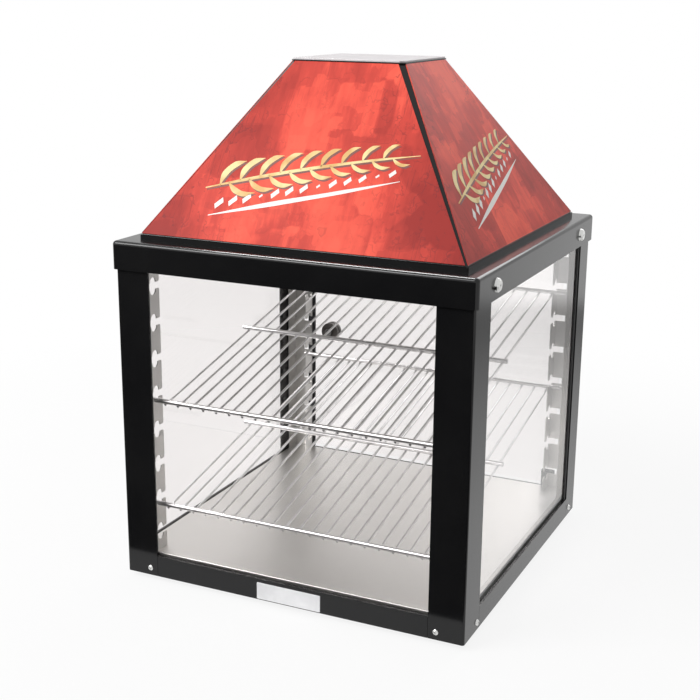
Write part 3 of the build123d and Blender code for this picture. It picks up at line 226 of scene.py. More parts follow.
class SignSettings(bpy.types.PropertyGroup):
    """The printed faces of the sign."""

    red: bpy.props.FloatVectorProperty(
        name="Red",
        description="Main colour of the printed faces",
        default=(0.80, 0.075, 0.048),
        subtype="COLOR",
        min=0.0,
        max=1.0,
    )
    dark_red: bpy.props.FloatVectorProperty(
        name="Dark red",
        description="Colour of the darker patches in the print",
        default=(0.34, 0.022, 0.016),
        subtype="COLOR",
        min=0.0,
        max=1.0,
    )
    bright_red: bpy.props.FloatVectorProperty(
        name="Bright red",
        description="Colour of the lightest patches in the print",
        default=(0.98, 0.125, 0.072),
        subtype="COLOR",
        min=0.0,
        max=1.0,
    )
    cream: bpy.props.FloatVectorProperty(
        name="Cream",
        description="Light colour of the branch",
        default=(0.95, 0.78, 0.38),
        subtype="COLOR",
        min=0.0,
        max=1.0,
    )
    print_thickness: bpy.props.FloatProperty(
        name="Print thickness",
        description="How far the raised print stands off the panel",
        default=0.00012,
        min=0.00002,
        max=0.0005,
        unit="LENGTH",
    )


class MetalSettings(bpy.types.PropertyGroup):
    """Enamel and stainless steel."""

    enamel: bpy.props.FloatVectorProperty(
        name="Enamel",
        description="Colour of the black enamel",
        default=(0.006, 0.006, 0.0065),
        subtype="COLOR",
        min=0.0,
        max=1.0,
    )
    stainless: bpy.props.FloatVectorProperty(
        name="Stainless",
        description="Colour of the stainless steel",
        default=(0.72, 0.71, 0.69),
        subtype="COLOR",
        min=0.0,
        max=1.0,
    )


class StageSettings(bpy.types.PropertyGroup):
    """Camera and floor."""

    camera_distance: bpy.props.FloatProperty(
        name="Camera setback",
        description="Moves the camera back from its measured place",
        default=0.0,
        unit="LENGTH",
    )
    floor_size: bpy.props.FloatProperty(
        name="Floor size",
        description="Width of the pale floor",
        default=14.0,
        min=2.0,
        unit="LENGTH",
    )


# Finishes


class CABINET_OT_enamel(bpy.types.Operator):
    """Black enamel on the posts, the cap, the base and the sign's frame"""

    bl_idname = "cabinet.enamel"
    bl_label = "Enamel"

    def execute(self, context):
        enamel = Finish("black_enamel")
        smears = enamel.noise(9.0, detail=4.0, roughness=0.6)
        grain = enamel.noise(1400.0)
        waves = enamel.noise(55.0, detail=1.0, roughness=0.4)
        black = colour(*context.scene.cabinet_metal.enamel)
        enamel.surface({
            "Base Color": enamel.mix(smears.above(0.55, width=0.35) * 0.5, black, grey(0.011)),
            "Roughness": 0.09 + smears * 0.09,
            "Specular IOR Level": 0.35,
            "Normal": enamel.bump(grain * 0.25 + waves, distance=0.00005, strength=0.35),
        })
        give(
            enamel,
            "base_pan", "front_left_post", "front_right_post", "rear_left_post", "rear_right_post",
            "top_cap", "sign_hood", "rear_control_panel", "lower_hinge_bracket", "upper_hinge_bracket",
        )
        return {"FINISHED"}


STREAK_SCALE = 900.0
STREAK_SHADE = 0.80


def stainless_finish(name, tint, along, roughness, streaks):
    """Brushed steel: fine streaks along one axis, with a faint cloudiness."""
    steel = Finish(name)
    scale = [STREAK_SCALE] * 3
    scale["xyz".index(along)] = STREAK_SCALE / 100
    fine = steel.noise(1.0, detail=3.0, roughness=0.6, vector=steel.stretched(tuple(scale)))
    scale["xyz".index(along)] = STREAK_SCALE / 300
    broad = steel.noise(0.16, vector=steel.stretched(tuple(scale)))
    cloud = steel.noise(14.0, detail=3.0)
    darker = colour(*[value * STREAK_SHADE for value in tint])
    steel.surface({
        "Base Color": steel.mix(fine * streaks + cloud * 0.25, colour(*tint), darker),
        "Metallic": 1.0,
        "Roughness": fine * 0.12 + broad * 0.08 + cloud * 0.06 + (roughness - 0.13),
        "Normal": steel.bump(fine, distance=0.00002, strength=0.5),
    })
    return steel


class CABINET_OT_stainless(bpy.types.Operator):
    """Brushed stainless steel on the floor, the ceiling and the shelf posts"""

    bl_idname = "cabinet.stainless"
    bl_label = "Stainless steel"

    def execute(self, context):
        tint = tuple(context.scene.cabinet_metal.stainless)
        posts = stainless_finish("post_stainless", tint, along="z", roughness=0.36, streaks=0.6)
        give(posts, *[f"{corner}_shelf_post" for corner in CORNERS])
        give(stainless_finish("floor_stainless", tint, along="x", roughness=0.38, streaks=0.4), "floor_tray")
        ceiling = stainless_finish("ceiling_stainless", tint, along="x", roughness=0.34, streaks=0.5)
        give(ceiling, "ceiling_plate", "door_header", "fan_guard")
        return {"FINISHED"}


class CABINET_OT_shelves(bpy.types.Operator):
    """Bright plating on the wire shelves"""

    bl_idname = "cabinet.shelves"
    bl_label = "Wire shelves"

    def execute(self, context):
        wire = Finish("chrome_wire")
        dull = wire.noise(60.0, detail=3.0, roughness=0.6)
        drawn = wire.noise(1.0, vector=wire.stretched((1500.0, 20.0, 1500.0)))
        worn = dull.above(0.5, width=0.4)
        wire.surface({
            "Base Color": wire.mix(worn, colour(0.86, 0.86, 0.87), colour(0.70, 0.69, 0.69)),
            "Metallic": 1.0,
            "Roughness": 0.26 + dull * 0.14 + drawn * 0.05,
            "Normal": wire.bump(drawn, distance=0.00001, strength=0.4),
        })
        give(wire, "upper_shelf", "lower_shelf")
        return {"FINISHED"}


class CABINET_OT_glass(bpy.types.Operator):
    """Clear panes that mirror more at a glancing angle, and the rippled lens of the lamp"""

    bl_idname = "cabinet.glass"
    bl_label = "Glass"

    def execute(self, context):
        pane = Finish("clear_glass")
        film = pane.noise(7.0, detail=4.0, roughness=0.6)
        clear = pane.node("ShaderNodeBsdfTransparent", None, {"Color": colour(0.995, 0.987, 0.985)})
        mirror = pane.node("ShaderNodeBsdfAnisotropic", None, {"Color": WHITE, "Roughness": 0.02})
        facing = Value(pane, pane.node("ShaderNodeLayerWeight", None, {"Blend": 0.5}).outputs["Facing"])
        gloss = 0.04 + 0.96 * facing ** 5.0
        pane.show(pane.mix_shaders(gloss * (0.85 + film * 0.15), clear, mirror))
        give(pane, "front_glass", "left_glass", "right_glass", "door_glass")
        lens = Finish("lens_glass")
        ripple = lens.noise(260.0)
        lens.surface({
            "Base Color": colour(0.86, 0.88, 0.87),
            "Roughness": 0.35 + ripple * 0.2,
            "Transmission Weight": 0.9,
            "Normal": lens.bump(ripple, distance=0.0002, strength=0.6),
        })
        give(lens, "lamp_lens")
        return {"FINISHED"}


ROUGHNESS_SPREAD = 0.15


def moulded(name, tint, *nodes, roughness, grain_size=1100.0, grain_depth=0.00003, metallic=0.0):
    """Plastic, rubber or plating on these nodes, with a fine grain and a slightly uneven tone."""
    finish = Finish(name)
    grain = finish.noise(grain_size)
    cloud = finish.noise(45.0, detail=3.0, roughness=0.55)
    lighter = colour(*[min(1.0, value * 1.35 + 0.004) for value in tint])
    patches = cloud.above(0.5, width=0.5) * 0.6 + grain * 0.2
    finish.surface({
        "Base Color": finish.mix(patches, colour(*tint), lighter),
        "Metallic": metallic,
        "Roughness": cloud * ROUGHNESS_SPREAD + (roughness - ROUGHNESS_SPREAD / 2),
        "Normal": finish.bump(grain, grain_depth, strength=0.6),
    })
    give(finish, *nodes)


class CABINET_OT_fittings(bpy.types.Operator):
    """Rubber, plastic, plating and the bare plates"""

    bl_idname = "cabinet.fittings"
    bl_label = "Fittings"

    def execute(self, context):
        moulded(
            "black_rubber", (0.012, 0.012, 0.012),
            "left_rear_gasket", "right_rear_gasket", "front_gaskets", "rubber_feet",
            roughness=0.62, grain_size=700.0, grain_depth=0.00005,
        )
        moulded(
            "grey_silicone", (0.36, 0.35, 0.34), "glass_setting_strips",
            roughness=0.5, grain_size=600.0, grain_depth=0.00003,
        )
        moulded(
            "zinc_screw", (0.60, 0.60, 0.59),
            "base_screws", "cap_screws", "foot_screws", "door_knob_screw", "door_strike_plate", "door_magnet",
            roughness=0.24, grain_size=2500.0, grain_depth=0.00001, metallic=1.0,
        )
        moulded(
            "bare_silver", (0.72, 0.72, 0.73), "name_plate",
            roughness=0.34, grain_size=1900.0, grain_depth=0.00001, metallic=0.35,
        )
        moulded(
            "dark_plastic", (0.022, 0.022, 0.024), "door_edge_trim", "lower_pivot_clip", "upper_pivot_clip",
            roughness=0.38,
        )
        moulded(
            "knob_grey", (0.10, 0.095, 0.09), "door_knob",
            roughness=0.32, grain_size=260.0, grain_depth=0.00005, metallic=0.4,
        )
        moulded(
            "control_plastic", (0.018, 0.018, 0.019), "thermostat_dial", "switch_body", "power_inlet",
            roughness=0.42,
        )
        moulded("rocker_plastic", (0.42, 0.012, 0.010), "switch_rocker", roughness=0.25)
        moulded("pilot_amber", (0.75, 0.24, 0.02), "pilot_light", roughness=0.15)
        moulded(
            "pale_plate", (0.57, 0.54, 0.55), "hood_top_plate",
            roughness=0.42, grain_size=900.0, grain_depth=0.00002,
        )
        return {"FINISHED"}


class CABINET_OT_head_insides(bpy.types.Operator):
    """The fan, the heater and the lamp inside the head"""

    bl_idname = "cabinet.head_insides"
    bl_label = "Head insides"

    def execute(self, context):
        moulded(
            "galvanised", (0.50, 0.51, 0.52), "fan_bridge", "heater_saddles",
            roughness=0.42, grain_size=220.0, grain_depth=0.00002, metallic=1.0,
        )
        moulded("motor_grey", (0.16, 0.165, 0.17), "fan_motor", "thermostat_body", roughness=0.45)
        moulded("fan_plastic", (0.07, 0.07, 0.075), "fan_blade", roughness=0.40)
        moulded(
            "heater_sheath", (0.20, 0.17, 0.15), "heater_element",
            roughness=0.50, grain_size=500.0, grain_depth=0.00004, metallic=1.0,
        )
        moulded("ceramic_white", (0.78, 0.77, 0.73), "terminal_block", "lamp_socket", roughness=0.22)
        moulded("frosted_bulb", (0.86, 0.85, 0.80), "lamp_bulb", roughness=0.30)
        return {"FINISHED"}


class CABINET_OT_sign_faces(bpy.types.Operator):
    """Mottled red print on the sign's faces"""

    bl_idname = "cabinet.sign_faces"
    bl_label = "Sign faces"

    def execute(self, context):
        settings = context.scene.cabinet_sign
        lowest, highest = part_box("front_sign_panel")
        print_red = Finish("red_panel")
        x, y, height = print_red.axes()
        front = abs(print_red.facing()[1]).above(0.4, width=0.1)
        across = x * front + y * (1.0 - front)
        inward = abs(x).larger(abs(y))
        side = (x + y * 3.0).above(0.0, width=0.001) * 0.3 + front
        sheet = print_red.joined(across, height, side)
        corner = (abs(across) / inward).above(0.72, width=0.75)
        low = height.below((lowest.z + highest.z) / 2, width=0.13)
        clouds = print_red.noise(7.0, detail=3.0, roughness=0.55, vector=sheet)
        wash = print_red.noise(24.0, detail=4.0, roughness=0.6, vector=sheet)
        wide = print_red.stretched((95.0, 26.0, 1.0), sheet)
        brush = print_red.noise(1.0, detail=3.0, roughness=0.6, vector=wide)
        narrow = print_red.stretched((520.0, 34.0, 1.0), sheet)
        hatch = print_red.noise(1.0, vector=narrow)
        swayed = print_red.joined(across + clouds * 0.02, height + brush * 0.006, side)
        blocks = print_red.cells(21.0, swayed, softness=0.12)
        chips = print_red.cells(52.0, swayed, softness=0.06)
        patches = (blocks - 0.5) * 0.34 + (chips - 0.5) * 0.16
        lift = 0.62 + patches + (clouds - 0.5) * 1.5 + (brush - 0.5) * 0.5
        lift = lift - corner * (0.16 + low * 0.42)
        dark = lift.above(0.42, width=0.84)
        base = print_red.mix(dark, colour(*settings.dark_red), colour(*settings.red))
        bright = lift.above(0.72, width=0.36) * 0.9
        base = print_red.mix(bright, base, colour(*settings.bright_red))
        worn = wash.above(0.52, width=0.08)
        smear = hatch.above(0.60, width=0.06) * worn * (corner * 0.9 + 0.12)
        rim = abs(blocks - 0.55).below(0.035, width=0.04) * wash.above(0.48, width=0.08)
        scuff = abs(wash - 0.5).below(0.010, width=0.012) * brush.above(0.5, width=0.08)
        marks = (smear * 0.55).larger(rim * 0.30).larger(scuff * (0.15 + corner * 0.5))
        print_red.surface({
            "Base Color": print_red.mix(marks, base, colour(0.17, 0.016, 0.018)),
            "Roughness": 0.40 + wash * 0.08,
            "Specular IOR Level": 0.15,
            "Normal": print_red.bump(print_red.noise(800.0), distance=0.00002, strength=0.4),
        })
        give(print_red, "front_sign_panel", "left_sign_panel", "right_sign_panel")
        return {"FINISHED"}


# Flat faces, and the thin solids that lie on them

NEAR_FACE = 0.2 * MM
NEAR_TOP = 1.2 * MM


class Panel:
    """A flat face, with directions to its right, up along it and out of it."""

    def __init__(self, foot, right, up):
        self.foot = foot
        self.right = right
        self.up = up
        self.normal = right.cross(up)

    def at(self, across, up, out=0.0):
        return self.foot + self.right * across + self.up * up + self.normal * out

    def tilted(self, across, up, out, rise):
        """A face through one point of this one, which climbs out of it by an angle on its way up."""
        climb = self.up * math.cos(rise) + self.normal * math.sin(rise)
        return Panel(self.at(across, up, out), self.right, climb)


def slanted_panel(node, facing):
    """The outer face of one sheet of the sign, from the middle of its foot."""
    out = Vector(facing)
    corners = [vertex.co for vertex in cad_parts[node].data.vertices]
    reach = max(corner.dot(out) for corner in corners)
    foot_z = max(corner.z for corner in corners if corner.dot(out) > reach - NEAR_FACE)
    top_z = max(corner.z for corner in corners)
    top_reach = max(corner.dot(out) for corner in corners if corner.z > top_z - NEAR_TOP)
    slope = Vector((0, 0, top_z - foot_z)) - out * (reach - top_reach)
    right = Vector((0, 0, 1)).cross(out).normalized()
    return Panel(out * reach + Vector((0, 0, foot_z)), right, slope.normalized())


def ribbon_outline(points, widths, steps=14):
    """Left and right edges of a brush stroke that swells along a smooth line."""
    dense = []
    count = len(points)
    for index in range(count - 1):
        p0 = Vector(points[max(index - 1, 0)])
        p1 = Vector(points[index])
        p2 = Vector(points[index + 1])
        p3 = Vector(points[min(index + 2, count - 1)])
        for step in range(steps):
            t = step / steps
            position = 0.5 * (
                2 * p1 + (p2 - p0) * t + (2 * p0 - 5 * p1 + 4 * p2 - p3) * t * t
                + (3 * p1 - p0 - 3 * p2 + p3) * t * t * t
            )
            width = widths[index] + (widths[index + 1] - widths[index]) * t * t * (3 - 2 * t)
            dense.append((position, width))
    dense.append((Vector(points[-1]), widths[-1]))
    left, right = [], []
    for index, (position, width) in enumerate(dense):
        before = dense[max(index - 1, 0)][0]
        after = dense[min(index + 1, len(dense) - 1)][0]
        along = (after - before).normalized()
        across = Vector((-along.y, along.x))
        left.append(position + across * width / 2)
        right.append(position - across * width / 2)
    return left, right


def add_strip(mesh, panel, left, right, base, thickness, ring=False):
    """A thin solid strip between two edges on a panel, whose ends meet in a ring."""
    rows = []
    for a, b in zip(left, right):
        rows.append([
            mesh.verts.new(panel.at(a.x, a.y, base)),
            mesh.verts.new(panel.at(b.x, b.y, base)),
            mesh.verts.new(panel.at(b.x, b.y, base + thickness)),
            mesh.verts.new(panel.at(a.x, a.y, base + thickness)),
        ])
    if ring:
        rows.append(rows[0])
    else:
        mesh.faces.new(rows[0])
        mesh.faces.new(reversed(rows[-1]))
    for first, second in zip(rows, rows[1:]):
        for side in range(4):
            after = (side + 1) % 4
            mesh.faces.new((first[side], second[side], second[after], first[after]))


def add_polygon(mesh, panel, corners, base, thickness):
    """A thin closed plate with these corners on a panel."""
    bottom = [mesh.verts.new(panel.at(x, y, base)) for x, y in corners]
    top = [mesh.verts.new(panel.at(x, y, base + thickness)) for x, y in corners]
    mesh.faces.new(reversed(bottom))
    mesh.faces.new(top)
    for index in range(len(corners)):
        after = (index + 1) % len(corners)
        mesh.faces.new((bottom[index], bottom[after], top[after], top[index]))


def finish_piece(name, mesh, finish, body):
    """Turn a built mesh into a piece that rides on a body."""
    bmesh.ops.recalc_face_normals(mesh, faces=mesh.faces)
    data = bpy.data.meshes.new(name)
    mesh.to_mesh(data)
    mesh.free()
    piece = bpy.data.objects.new(name, data)
    bpy.context.scene.collection.objects.link(piece)
    data.materials.append(finish.material)
    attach(piece, body)


# Printed design on the sign: places and widths in millimetres across and up a face

STEM_ACROSS = (-138.0, -70.0, 0.0, 66.0, 124.0)
STEM_WIDTHS = (1.5, 4.2, 4.0, 3.0, 0.8)
STEM_FOOT = 66.0
STEM_SLOPE = 0.30
STEM_BEND = 0.00028
LEAF_PAIRS = 9
LEAF_START = -120.0
LEAF_PITCH = 25.0
LEAF_STAGGER = 0.45
LEAF_SHRINK = 0.05
UPPER_LEAF = (((0, 0), (3, 15), (13, 27), (27, 33)), (1.5, 8.5, 8.0, 0.5))
LOWER_LEAF = (((0, 0), (11, -9), (24, -13), (38, -10)), (1.5, 7.0, 6.5, 0.5))
SHADOW_DROP = (2.4, -2.0)
LOZENGES = 13
LOZENGE_START = (-114.0, 47.5)
LOZENGE_STEP = (17.5, 4.45)
LOZENGE_SIZE = (11.5, 15.5)
LOZENGE_SHRINK = (0.2, 0.42)
SMALL_LOZENGE = (5.0, 5.5)
SMALL_EVERY = 4
LOZENGE_LEAN = 0.22
LOZENGE_SKEW = 0.13
UNDERLINE = (((-124, 31), (-40, 53), (30, 71), (107, 92)), (1.2, 6.2, 5.0, 0.8))
LAYERS_UP = 1.1


def stem_height(across):
    """Height of the branch's stem above the panel's foot."""
    run = across - STEM_ACROSS[0]
    return STEM_FOOT + STEM_SLOPE * run - STEM_BEND * run * run


def branch_strokes():
    """A stem that rises to the right, with pairs of leaves that shrink towards its tip."""
    strokes = [([(across, stem_height(across)) for across in STEM_ACROSS], STEM_WIDTHS)]
    for pair in range(LEAF_PAIRS):
        size = 1.0 - LEAF_SHRINK * pair
        for stagger, (leaf, widths) in ((0.0, UPPER_LEAF), (LEAF_STAGGER, LOWER_LEAF)):
            across = LEAF_START + LEAF_PITCH * (pair + stagger)
            up = stem_height(across)
            points = [(across + x * size, up + y * size) for x, y in leaf]
            strokes.append((points, [width * size for width in widths]))
    return strokes


def stroke_outline(points, widths):
    """The edges of a stroke that is given in millimetres."""
    return ribbon_outline([Vector(point) * MM for point in points], [width * MM for width in widths])


def lozenge_corners(index):
    """The corners of one leaning lozenge of the row."""
    across, middle = (start + index * step for start, step in zip(LOZENGE_START, LOZENGE_STEP))
    width, height = (size - index * shrink for size, shrink in zip(LOZENGE_SIZE, LOZENGE_SHRINK))
    if index % SMALL_EVERY == SMALL_EVERY - 1:
        width, height = SMALL_LOZENGE
    lean, skew = height * LOZENGE_LEAN, width * LOZENGE_SKEW
    corners = (
        (across - width / 2, middle - skew),
        (across - lean, middle - height / 2),
        (across + width / 2, middle + skew),
        (across + lean, middle + height / 2),
    )
    return [(x * MM, y * MM) for x, y in corners]


def sign_design(panel, layer):
    """A leafy branch over a row of lozenges and an underline, all rising to the right.

    The print is one layer thick, and all but the branch's shadow stands clear of the shadow.
    """
    gold, shadow, white = bmesh.new(), bmesh.new(), bmesh.new()
    drop = Vector(SHADOW_DROP) * MM
    for points, widths in branch_strokes():
        left, right = stroke_outline(points, widths)
        add_strip(gold, panel, left, right, layer * LAYERS_UP, layer)
        add_strip(shadow, panel, [spot + drop for spot in left], [spot + drop for spot in right], 0.0, layer)
    for index in range(LOZENGES):
        add_polygon(white, panel, lozenge_corners(index), layer * LAYERS_UP, layer)
    add_strip(white, panel, *stroke_outline(*UNDERLINE), layer * LAYERS_UP, layer)
    return gold, shadow, white


class CABINET_OT_sign_print(bpy.types.Operator):
    """A leafy branch and a row of lozenges printed on the sign's faces"""

    bl_idname = "cabinet.sign_print"
    bl_label = "Sign print"

    def execute(self, context):
        settings = context.scene.cabinet_sign
        gold = Finish("cream_print")
        mottle = gold.noise(160.0)
        tone = gold.noise(34.0).above(0.48, width=0.16) * 0.75 + mottle * 0.25
        gold.surface({
            "Base Color": gold.mix(tone, colour(0.70, 0.40, 0.12), colour(*settings.cream)),
            "Roughness": 0.36 + mottle * 0.06,
            "Specular IOR Level": 0.3,
        })
        brown = Finish("shadow_print")
        spread = brown.noise(150.0)
        brown.surface({
            "Base Color": brown.mix(spread, colour(0.10, 0.02, 0.01), colour(0.22, 0.035, 0.02)),
            "Roughness": 0.40 + spread * 0.05,
        })
        pale = Finish("white_print")
        dust = pale.noise(140.0)
        pale.surface({
            "Base Color": pale.mix(dust, colour(0.90, 0.88, 0.84), colour(0.80, 0.76, 0.72)),
            "Roughness": 0.36 + dust * 0.06,
        })
        for side, facing in (("front", (0, -1, 0)), ("right", (1, 0, 0)), ("left", (-1, 0, 0))):
            panel = slanted_panel(f"{side}_sign_panel", facing)
            branch, shadow, lozenges = sign_design(panel, settings.print_thickness)
            finish_piece(f"{side}_branch", branch, gold, "cabinet")
            finish_piece(f"{side}_branch_shadow", shadow, brown, "cabinet")
            finish_piece(f"{side}_lozenges", lozenges, pale, "cabinet")
        return {"FINISHED"}


# Marks on the rear controls: lengths in millimetres, angles in degrees

MARK_THICKNESS = 0.1
MARK_WIDTH = 0.7
DIAL_MIDDLE = (42.0, 51.0)
DIAL_TOP = 17.3
DIAL_TURN = 270
TICK_STEP = 10
NUMBER_STEP = 30
TICK_START = 20.4
TICK_END = 22.6
LONG_TICK_END = 24.2
NUMBER_RADIUS = 29.0
NUMBER_HEIGHT = 6.6
POINTER = (4.0, 12.4)
POINTER_WIDTH = 1.8
SWITCH_MIDDLE = (-70.0, 51.0)
ROCKER_HALF = 9.0
ROCKER_LOW_END = 3.6
ROCKER_DIP = 1.4
ROCKER_HIGH_END = 6.0
ON_MARK = ((0.0, 3.4), (0.0, 7.4))
OFF_MARK_MIDDLE = (0.0, -4.7)
OFF_MARK_RADII = (2.0, 1.3)
OFF_MARK_STEP = 15


def around(middle, radius, angle):
    """A point on a circle, in millimetres, clockwise from its top by an angle in degrees."""
    turn = math.radians(angle)
    return Vector((middle[0] + radius * math.sin(turn), middle[1] + radius * math.cos(turn)))


def add_bar(mesh, panel, start, end, width, base=0.0):
    """A thin straight bar between two points of a panel, in millimetres."""
    line = [Vector(start), Vector(end)]
    along = (line[1] - line[0]).normalized()
    side = Vector((-along.y, along.x)) * width / 2
    left, right = ([(spot + shift) * MM for spot in line] for shift in (side, -side))
    add_strip(mesh, panel, left, right, base * MM, MARK_THICKNESS * MM)


def add_number(mesh, panel, number, middle):
    """A number on a panel, upright about its middle."""
    text = bpy.data.curves.new("number", "FONT")
    text.body = str(number)
    text.align_x = "CENTER"
    text.align_y = "CENTER"
    text.size = NUMBER_HEIGHT * MM
    text.extrude = MARK_THICKNESS * MM / 2
    text.resolution_u = 3
    shape = bpy.data.objects.new("number", text)
    bpy.context.scene.collection.objects.link(shape)
    bpy.context.view_layer.update()
    solid = shape.evaluated_get(bpy.context.evaluated_depsgraph_get()).to_mesh()
    shift = middle.to_3d() * MM + Vector((0, 0, text.extrude))
    placed = [mesh.verts.new(panel.at(*(vertex.co + shift))) for vertex in solid.vertices]
    for face in solid.polygons:
        mesh.faces.new([placed[index] for index in face.vertices])
    bpy.data.objects.remove(shape)
    bpy.data.curves.remove(text)


class CABINET_OT_control_marks(bpy.types.Operator):
    """Scale round the dial, its pointer and the marks of the switch"""

    bl_idname = "cabinet.control_marks"
    bl_label = "Control marks"

    def execute(self, context):
        ink = Finish("pale_ink")
        speck = ink.noise(420.0)
        ink.surface({
            "Base Color": ink.mix(speck, colour(0.82, 0.81, 0.78), colour(0.70, 0.69, 0.66)),
            "Roughness": 0.42 + speck * 0.08,
        })
        panel = slanted_panel("rear_control_panel", (0, 1, 0))
        scale = bmesh.new()
        for angle in range(0, DIAL_TURN + TICK_STEP, TICK_STEP):
            numbered = angle % NUMBER_STEP == 0
            outer = LONG_TICK_END if numbered else TICK_END
            ends = [around(DIAL_MIDDLE, radius, angle) for radius in (TICK_START, outer)]
            add_bar(scale, panel, *ends, MARK_WIDTH)
            if numbered:
                add_number(scale, panel, angle // NUMBER_STEP, around(DIAL_MIDDLE, NUMBER_RADIUS, angle))
        bmesh.ops.remove_doubles(scale, verts=scale.verts, dist=MARK_THICKNESS * MM / 20)
        finish_piece("dial_scale", scale, ink, "cabinet")
        pointer = bmesh.new()
        ends = [around(DIAL_MIDDLE, radius, 0) for radius in POINTER]
        add_bar(pointer, panel, *ends, POINTER_WIDTH, DIAL_TOP)
        finish_piece("dial_pointer", pointer, ink, "dial")
        marks = bmesh.new()
        dip = [value * MM for value in (*SWITCH_MIDDLE, ROCKER_DIP)]
        upper = panel.tilted(*dip, math.atan2(ROCKER_HIGH_END - ROCKER_DIP, ROCKER_HALF))
        lower = panel.tilted(*dip, math.atan2(ROCKER_DIP - ROCKER_LOW_END, ROCKER_HALF))
        add_bar(marks, upper, *ON_MARK, MARK_WIDTH)
        outer, inner = (
            [around(OFF_MARK_MIDDLE, radius, angle) * MM for angle in range(0, 360, OFF_MARK_STEP)]
            for radius in OFF_MARK_RADII
        )
        add_strip(marks, lower, outer, inner, 0.0, MARK_THICKNESS * MM, ring=True)
        finish_piece("rocker_marks", marks, ink, "rocker")
        return {"FINISHED"}


# Studio: lengths in metres, angles in degrees

CAMERA_TURN = (25.013, 15.569, 0.512)
CAMERA_SPOT = (0.6617, -1.4702, 0.7137)
CAMERA_LENS = 65.57
SENSOR_WIDTH = 36.0
CAMERA_RANGE = (0.05, 50.0)
WORLD_FILL = 0.44
WORLD_MIRRORED = 0.88
FLOOR_DUSK = 0.42
DUSK_START = (0.85, 1.0)
DUSK_END = (1.62, 0.16)
FLAG_SPOT = (-0.9, -1.93, 0.01)
FLAG_SIZE = (3.4, 3.3)
CABINET_MIDDLE = (0.0, 0.0, 0.3)
STRIP_TARGET = (-0.75, -0.23, 0.43)
LAMPS = (
    ("key_softbox", (-1.3, -1.8, 2.0), CABINET_MIDDLE, 56.0, 1.6, 1.2, True),
    ("back_softbox", (0.3, 2.2, 1.9), CABINET_MIDDLE, 20.0, 1.8, 1.3, True),
    ("strip_light", (-0.75, 0.39, 2.15), STRIP_TARGET, 46.0, 0.9, 0.45, False),
)


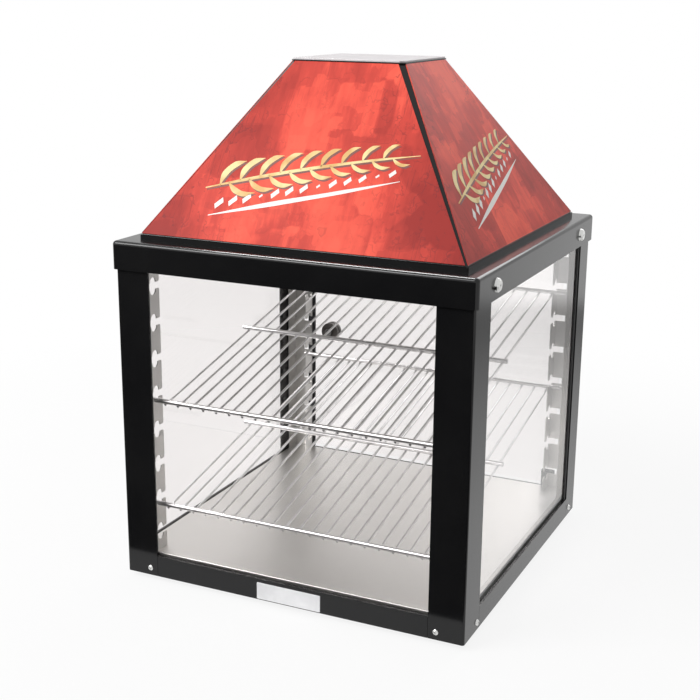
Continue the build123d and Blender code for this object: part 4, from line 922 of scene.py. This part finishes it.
class CABINET_OT_stage(bpy.types.Operator):
    """Pale floor, white surroundings, soft lamps and the camera"""

    bl_idname = "cabinet.stage"
    bl_label = "Studio"

    def execute(self, context):
        settings = context.scene.cabinet_stage
        self.add_camera(context, settings.camera_distance)
        self.add_world(context)
        self.add_floor(context, settings.floor_size)
        self.add_flag(context)
        self.add_lamps(context)
        context.scene.view_settings.view_transform = "Standard"
        return {"FINISHED"}

    @staticmethod
    def add_camera(context, setback):
        azimuth, elevation, roll = (math.radians(angle) for angle in CAMERA_TURN)
        back = Vector((
            math.sin(azimuth) * math.cos(elevation),
            -math.cos(azimuth) * math.cos(elevation),
            math.sin(elevation),
        ))
        level = (-back).cross(Vector((0, 0, 1))).normalized()
        lift = level.cross(-back)
        right = level * math.cos(roll) + lift * math.sin(roll)
        up = lift * math.cos(roll) - level * math.sin(roll)
        data = bpy.data.cameras.new("photo_camera")
        data.sensor_width = SENSOR_WIDTH
        data.lens = CAMERA_LENS
        data.clip_start, data.clip_end = CAMERA_RANGE
        camera = bpy.data.objects.new("photo_camera", data)
        context.scene.collection.objects.link(camera)
        turn = Matrix((right, up, back)).transposed().to_4x4()
        eye = Vector(CAMERA_SPOT) + Vector((0, 0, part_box("base_pan")[0].z))
        camera.matrix_world = Matrix.Translation(eye + back * setback) @ turn
        context.scene.camera = camera

    @staticmethod
    def add_world(context):
        context.scene.world = context.scene.world or bpy.data.worlds.new("studio")
        air = Finish("studio", context.scene.world)
        fill, mirrored, seen = (
            air.node("ShaderNodeBackground", None, {"Color": WHITE, "Strength": strength})
            for strength in (WORLD_FILL, WORLD_MIRRORED, 1.0)
        )
        unseen = air.mix_shaders(air.ray("Is Glossy Ray"), fill, mirrored)
        air.show(air.mix_shaders(air.ray("Is Camera Ray", "Is Transmission Ray"), unseen, seen))

    @staticmethod
    def add_plane(context, name, finish, middle, width, depth):
        sheet = bmesh.new()
        bmesh.ops.create_grid(sheet, x_segments=8, y_segments=8, size=0.5)
        bmesh.ops.scale(sheet, vec=Vector((width, depth, 1.0)), verts=sheet.verts)
        data = bpy.data.meshes.new(name)
        sheet.to_mesh(data)
        sheet.free()
        plane = bpy.data.objects.new(name, data)
        plane.location = middle
        context.scene.collection.objects.link(plane)
        data.materials.append(finish.material)
        return plane

    def add_floor(self, context, size):
        paper = Finish("studio_paper")
        fibre = paper.noise(40.0, detail=3.0)
        right, back, _ = paper.axes()
        away = (right * right + back * back) ** 0.5
        matte = paper.node("ShaderNodeBsdfDiffuse", None, {"Color": paper.mix(fibre, grey(0.86), grey(0.84))})
        glow, dusk = (
            paper.node("ShaderNodeEmission", None, {"Color": WHITE, "Strength": strength})
            for strength in (1.0, FLOOR_DUSK)
        )
        looked = paper.ray("Is Camera Ray", "Is Glossy Ray", "Is Transmission Ray")
        share = looked * (0.87 + away.above(0.85, width=0.7) * 0.13)
        fading = paper.ray("Is Glossy Ray") * away.above(*DUSK_START) * away.below(*DUSK_END)
        paper.show(paper.mix_shaders(fading, paper.mix_shaders(share, matte, glow), dusk))
        self.add_plane(context, "studio_floor", paper, (0, 0, 0), size, size)

    def add_flag(self, context):
        """A black card on the floor in front, which only gloss sees, as in a photo studio."""
        black = Finish("flag_cloth")
        cloth = black.mix(black.noise(300.0), grey(0.004), grey(0.008))
        black.show(black.node("ShaderNodeBsdfDiffuse", None, {"Color": cloth}))
        flag = self.add_plane(context, "studio_flag", black, FLAG_SPOT, *FLAG_SIZE)
        flag.visible_camera = False
        flag.visible_diffuse = False
        flag.visible_transmission = False
        flag.visible_shadow = False

    @staticmethod
    def add_lamps(context):
        for name, spot, target, power, width, height, lights_all in LAMPS:
            data = bpy.data.lights.new(name, "AREA")
            data.shape = "RECTANGLE"
            data.size = width
            data.size_y = height
            data.energy = power
            lamp = bpy.data.objects.new(name, data)
            context.scene.collection.objects.link(lamp)
            lamp.visible_diffuse = lights_all
            lamp.location = spot
            aim = Vector(target) - Vector(spot)
            lamp.rotation_euler = aim.to_track_quat("-Z", "Y").to_euler()


class CABINET_PT_sidebar(bpy.types.Panel):
    """Every step of the cabinet, in order"""

    bl_idname = "CABINET_PT_sidebar"
    bl_label = "Heated display cabinet"
    bl_space_type = "VIEW_3D"
    bl_region_type = "UI"
    bl_category = SIDEBAR

    def draw(self, context):
        layout = self.layout
        scene = context.scene
        for group in (scene.cabinet_sign, scene.cabinet_metal, scene.cabinet_stage):
            for key in group.bl_rna.properties.keys():
                if key not in ("rna_type", "name"):
                    layout.prop(group, key)
        for step in STEPS:
            layout.operator(step.bl_idname)


STEPS = (
    CABINET_OT_enamel,
    CABINET_OT_stainless,
    CABINET_OT_shelves,
    CABINET_OT_glass,
    CABINET_OT_fittings,
    CABINET_OT_head_insides,
    CABINET_OT_sign_faces,
    CABINET_OT_sign_print,
    CABINET_OT_control_marks,
    CABINET_OT_stage,
)
SETTINGS = (SignSettings, MetalSettings, StageSettings)


def register():
    for item in SETTINGS + STEPS + (CABINET_PT_sidebar,):
        bpy.utils.register_class(item)
    bpy.types.Scene.cabinet_sign = bpy.props.PointerProperty(type=SignSettings)
    bpy.types.Scene.cabinet_metal = bpy.props.PointerProperty(type=MetalSettings)
    bpy.types.Scene.cabinet_stage = bpy.props.PointerProperty(type=StageSettings)


def unregister():
    del bpy.types.Scene.cabinet_sign
    del bpy.types.Scene.cabinet_metal
    del bpy.types.Scene.cabinet_stage
    for item in reversed(SETTINGS + STEPS + (CABINET_PT_sidebar,)):
        bpy.utils.unregister_class(item)


def main():
    register()
    for step in STEPS:
        group, name = step.bl_idname.split(".")
        getattr(getattr(bpy.ops, group), name)()


if __name__ == "__main__":
    main()
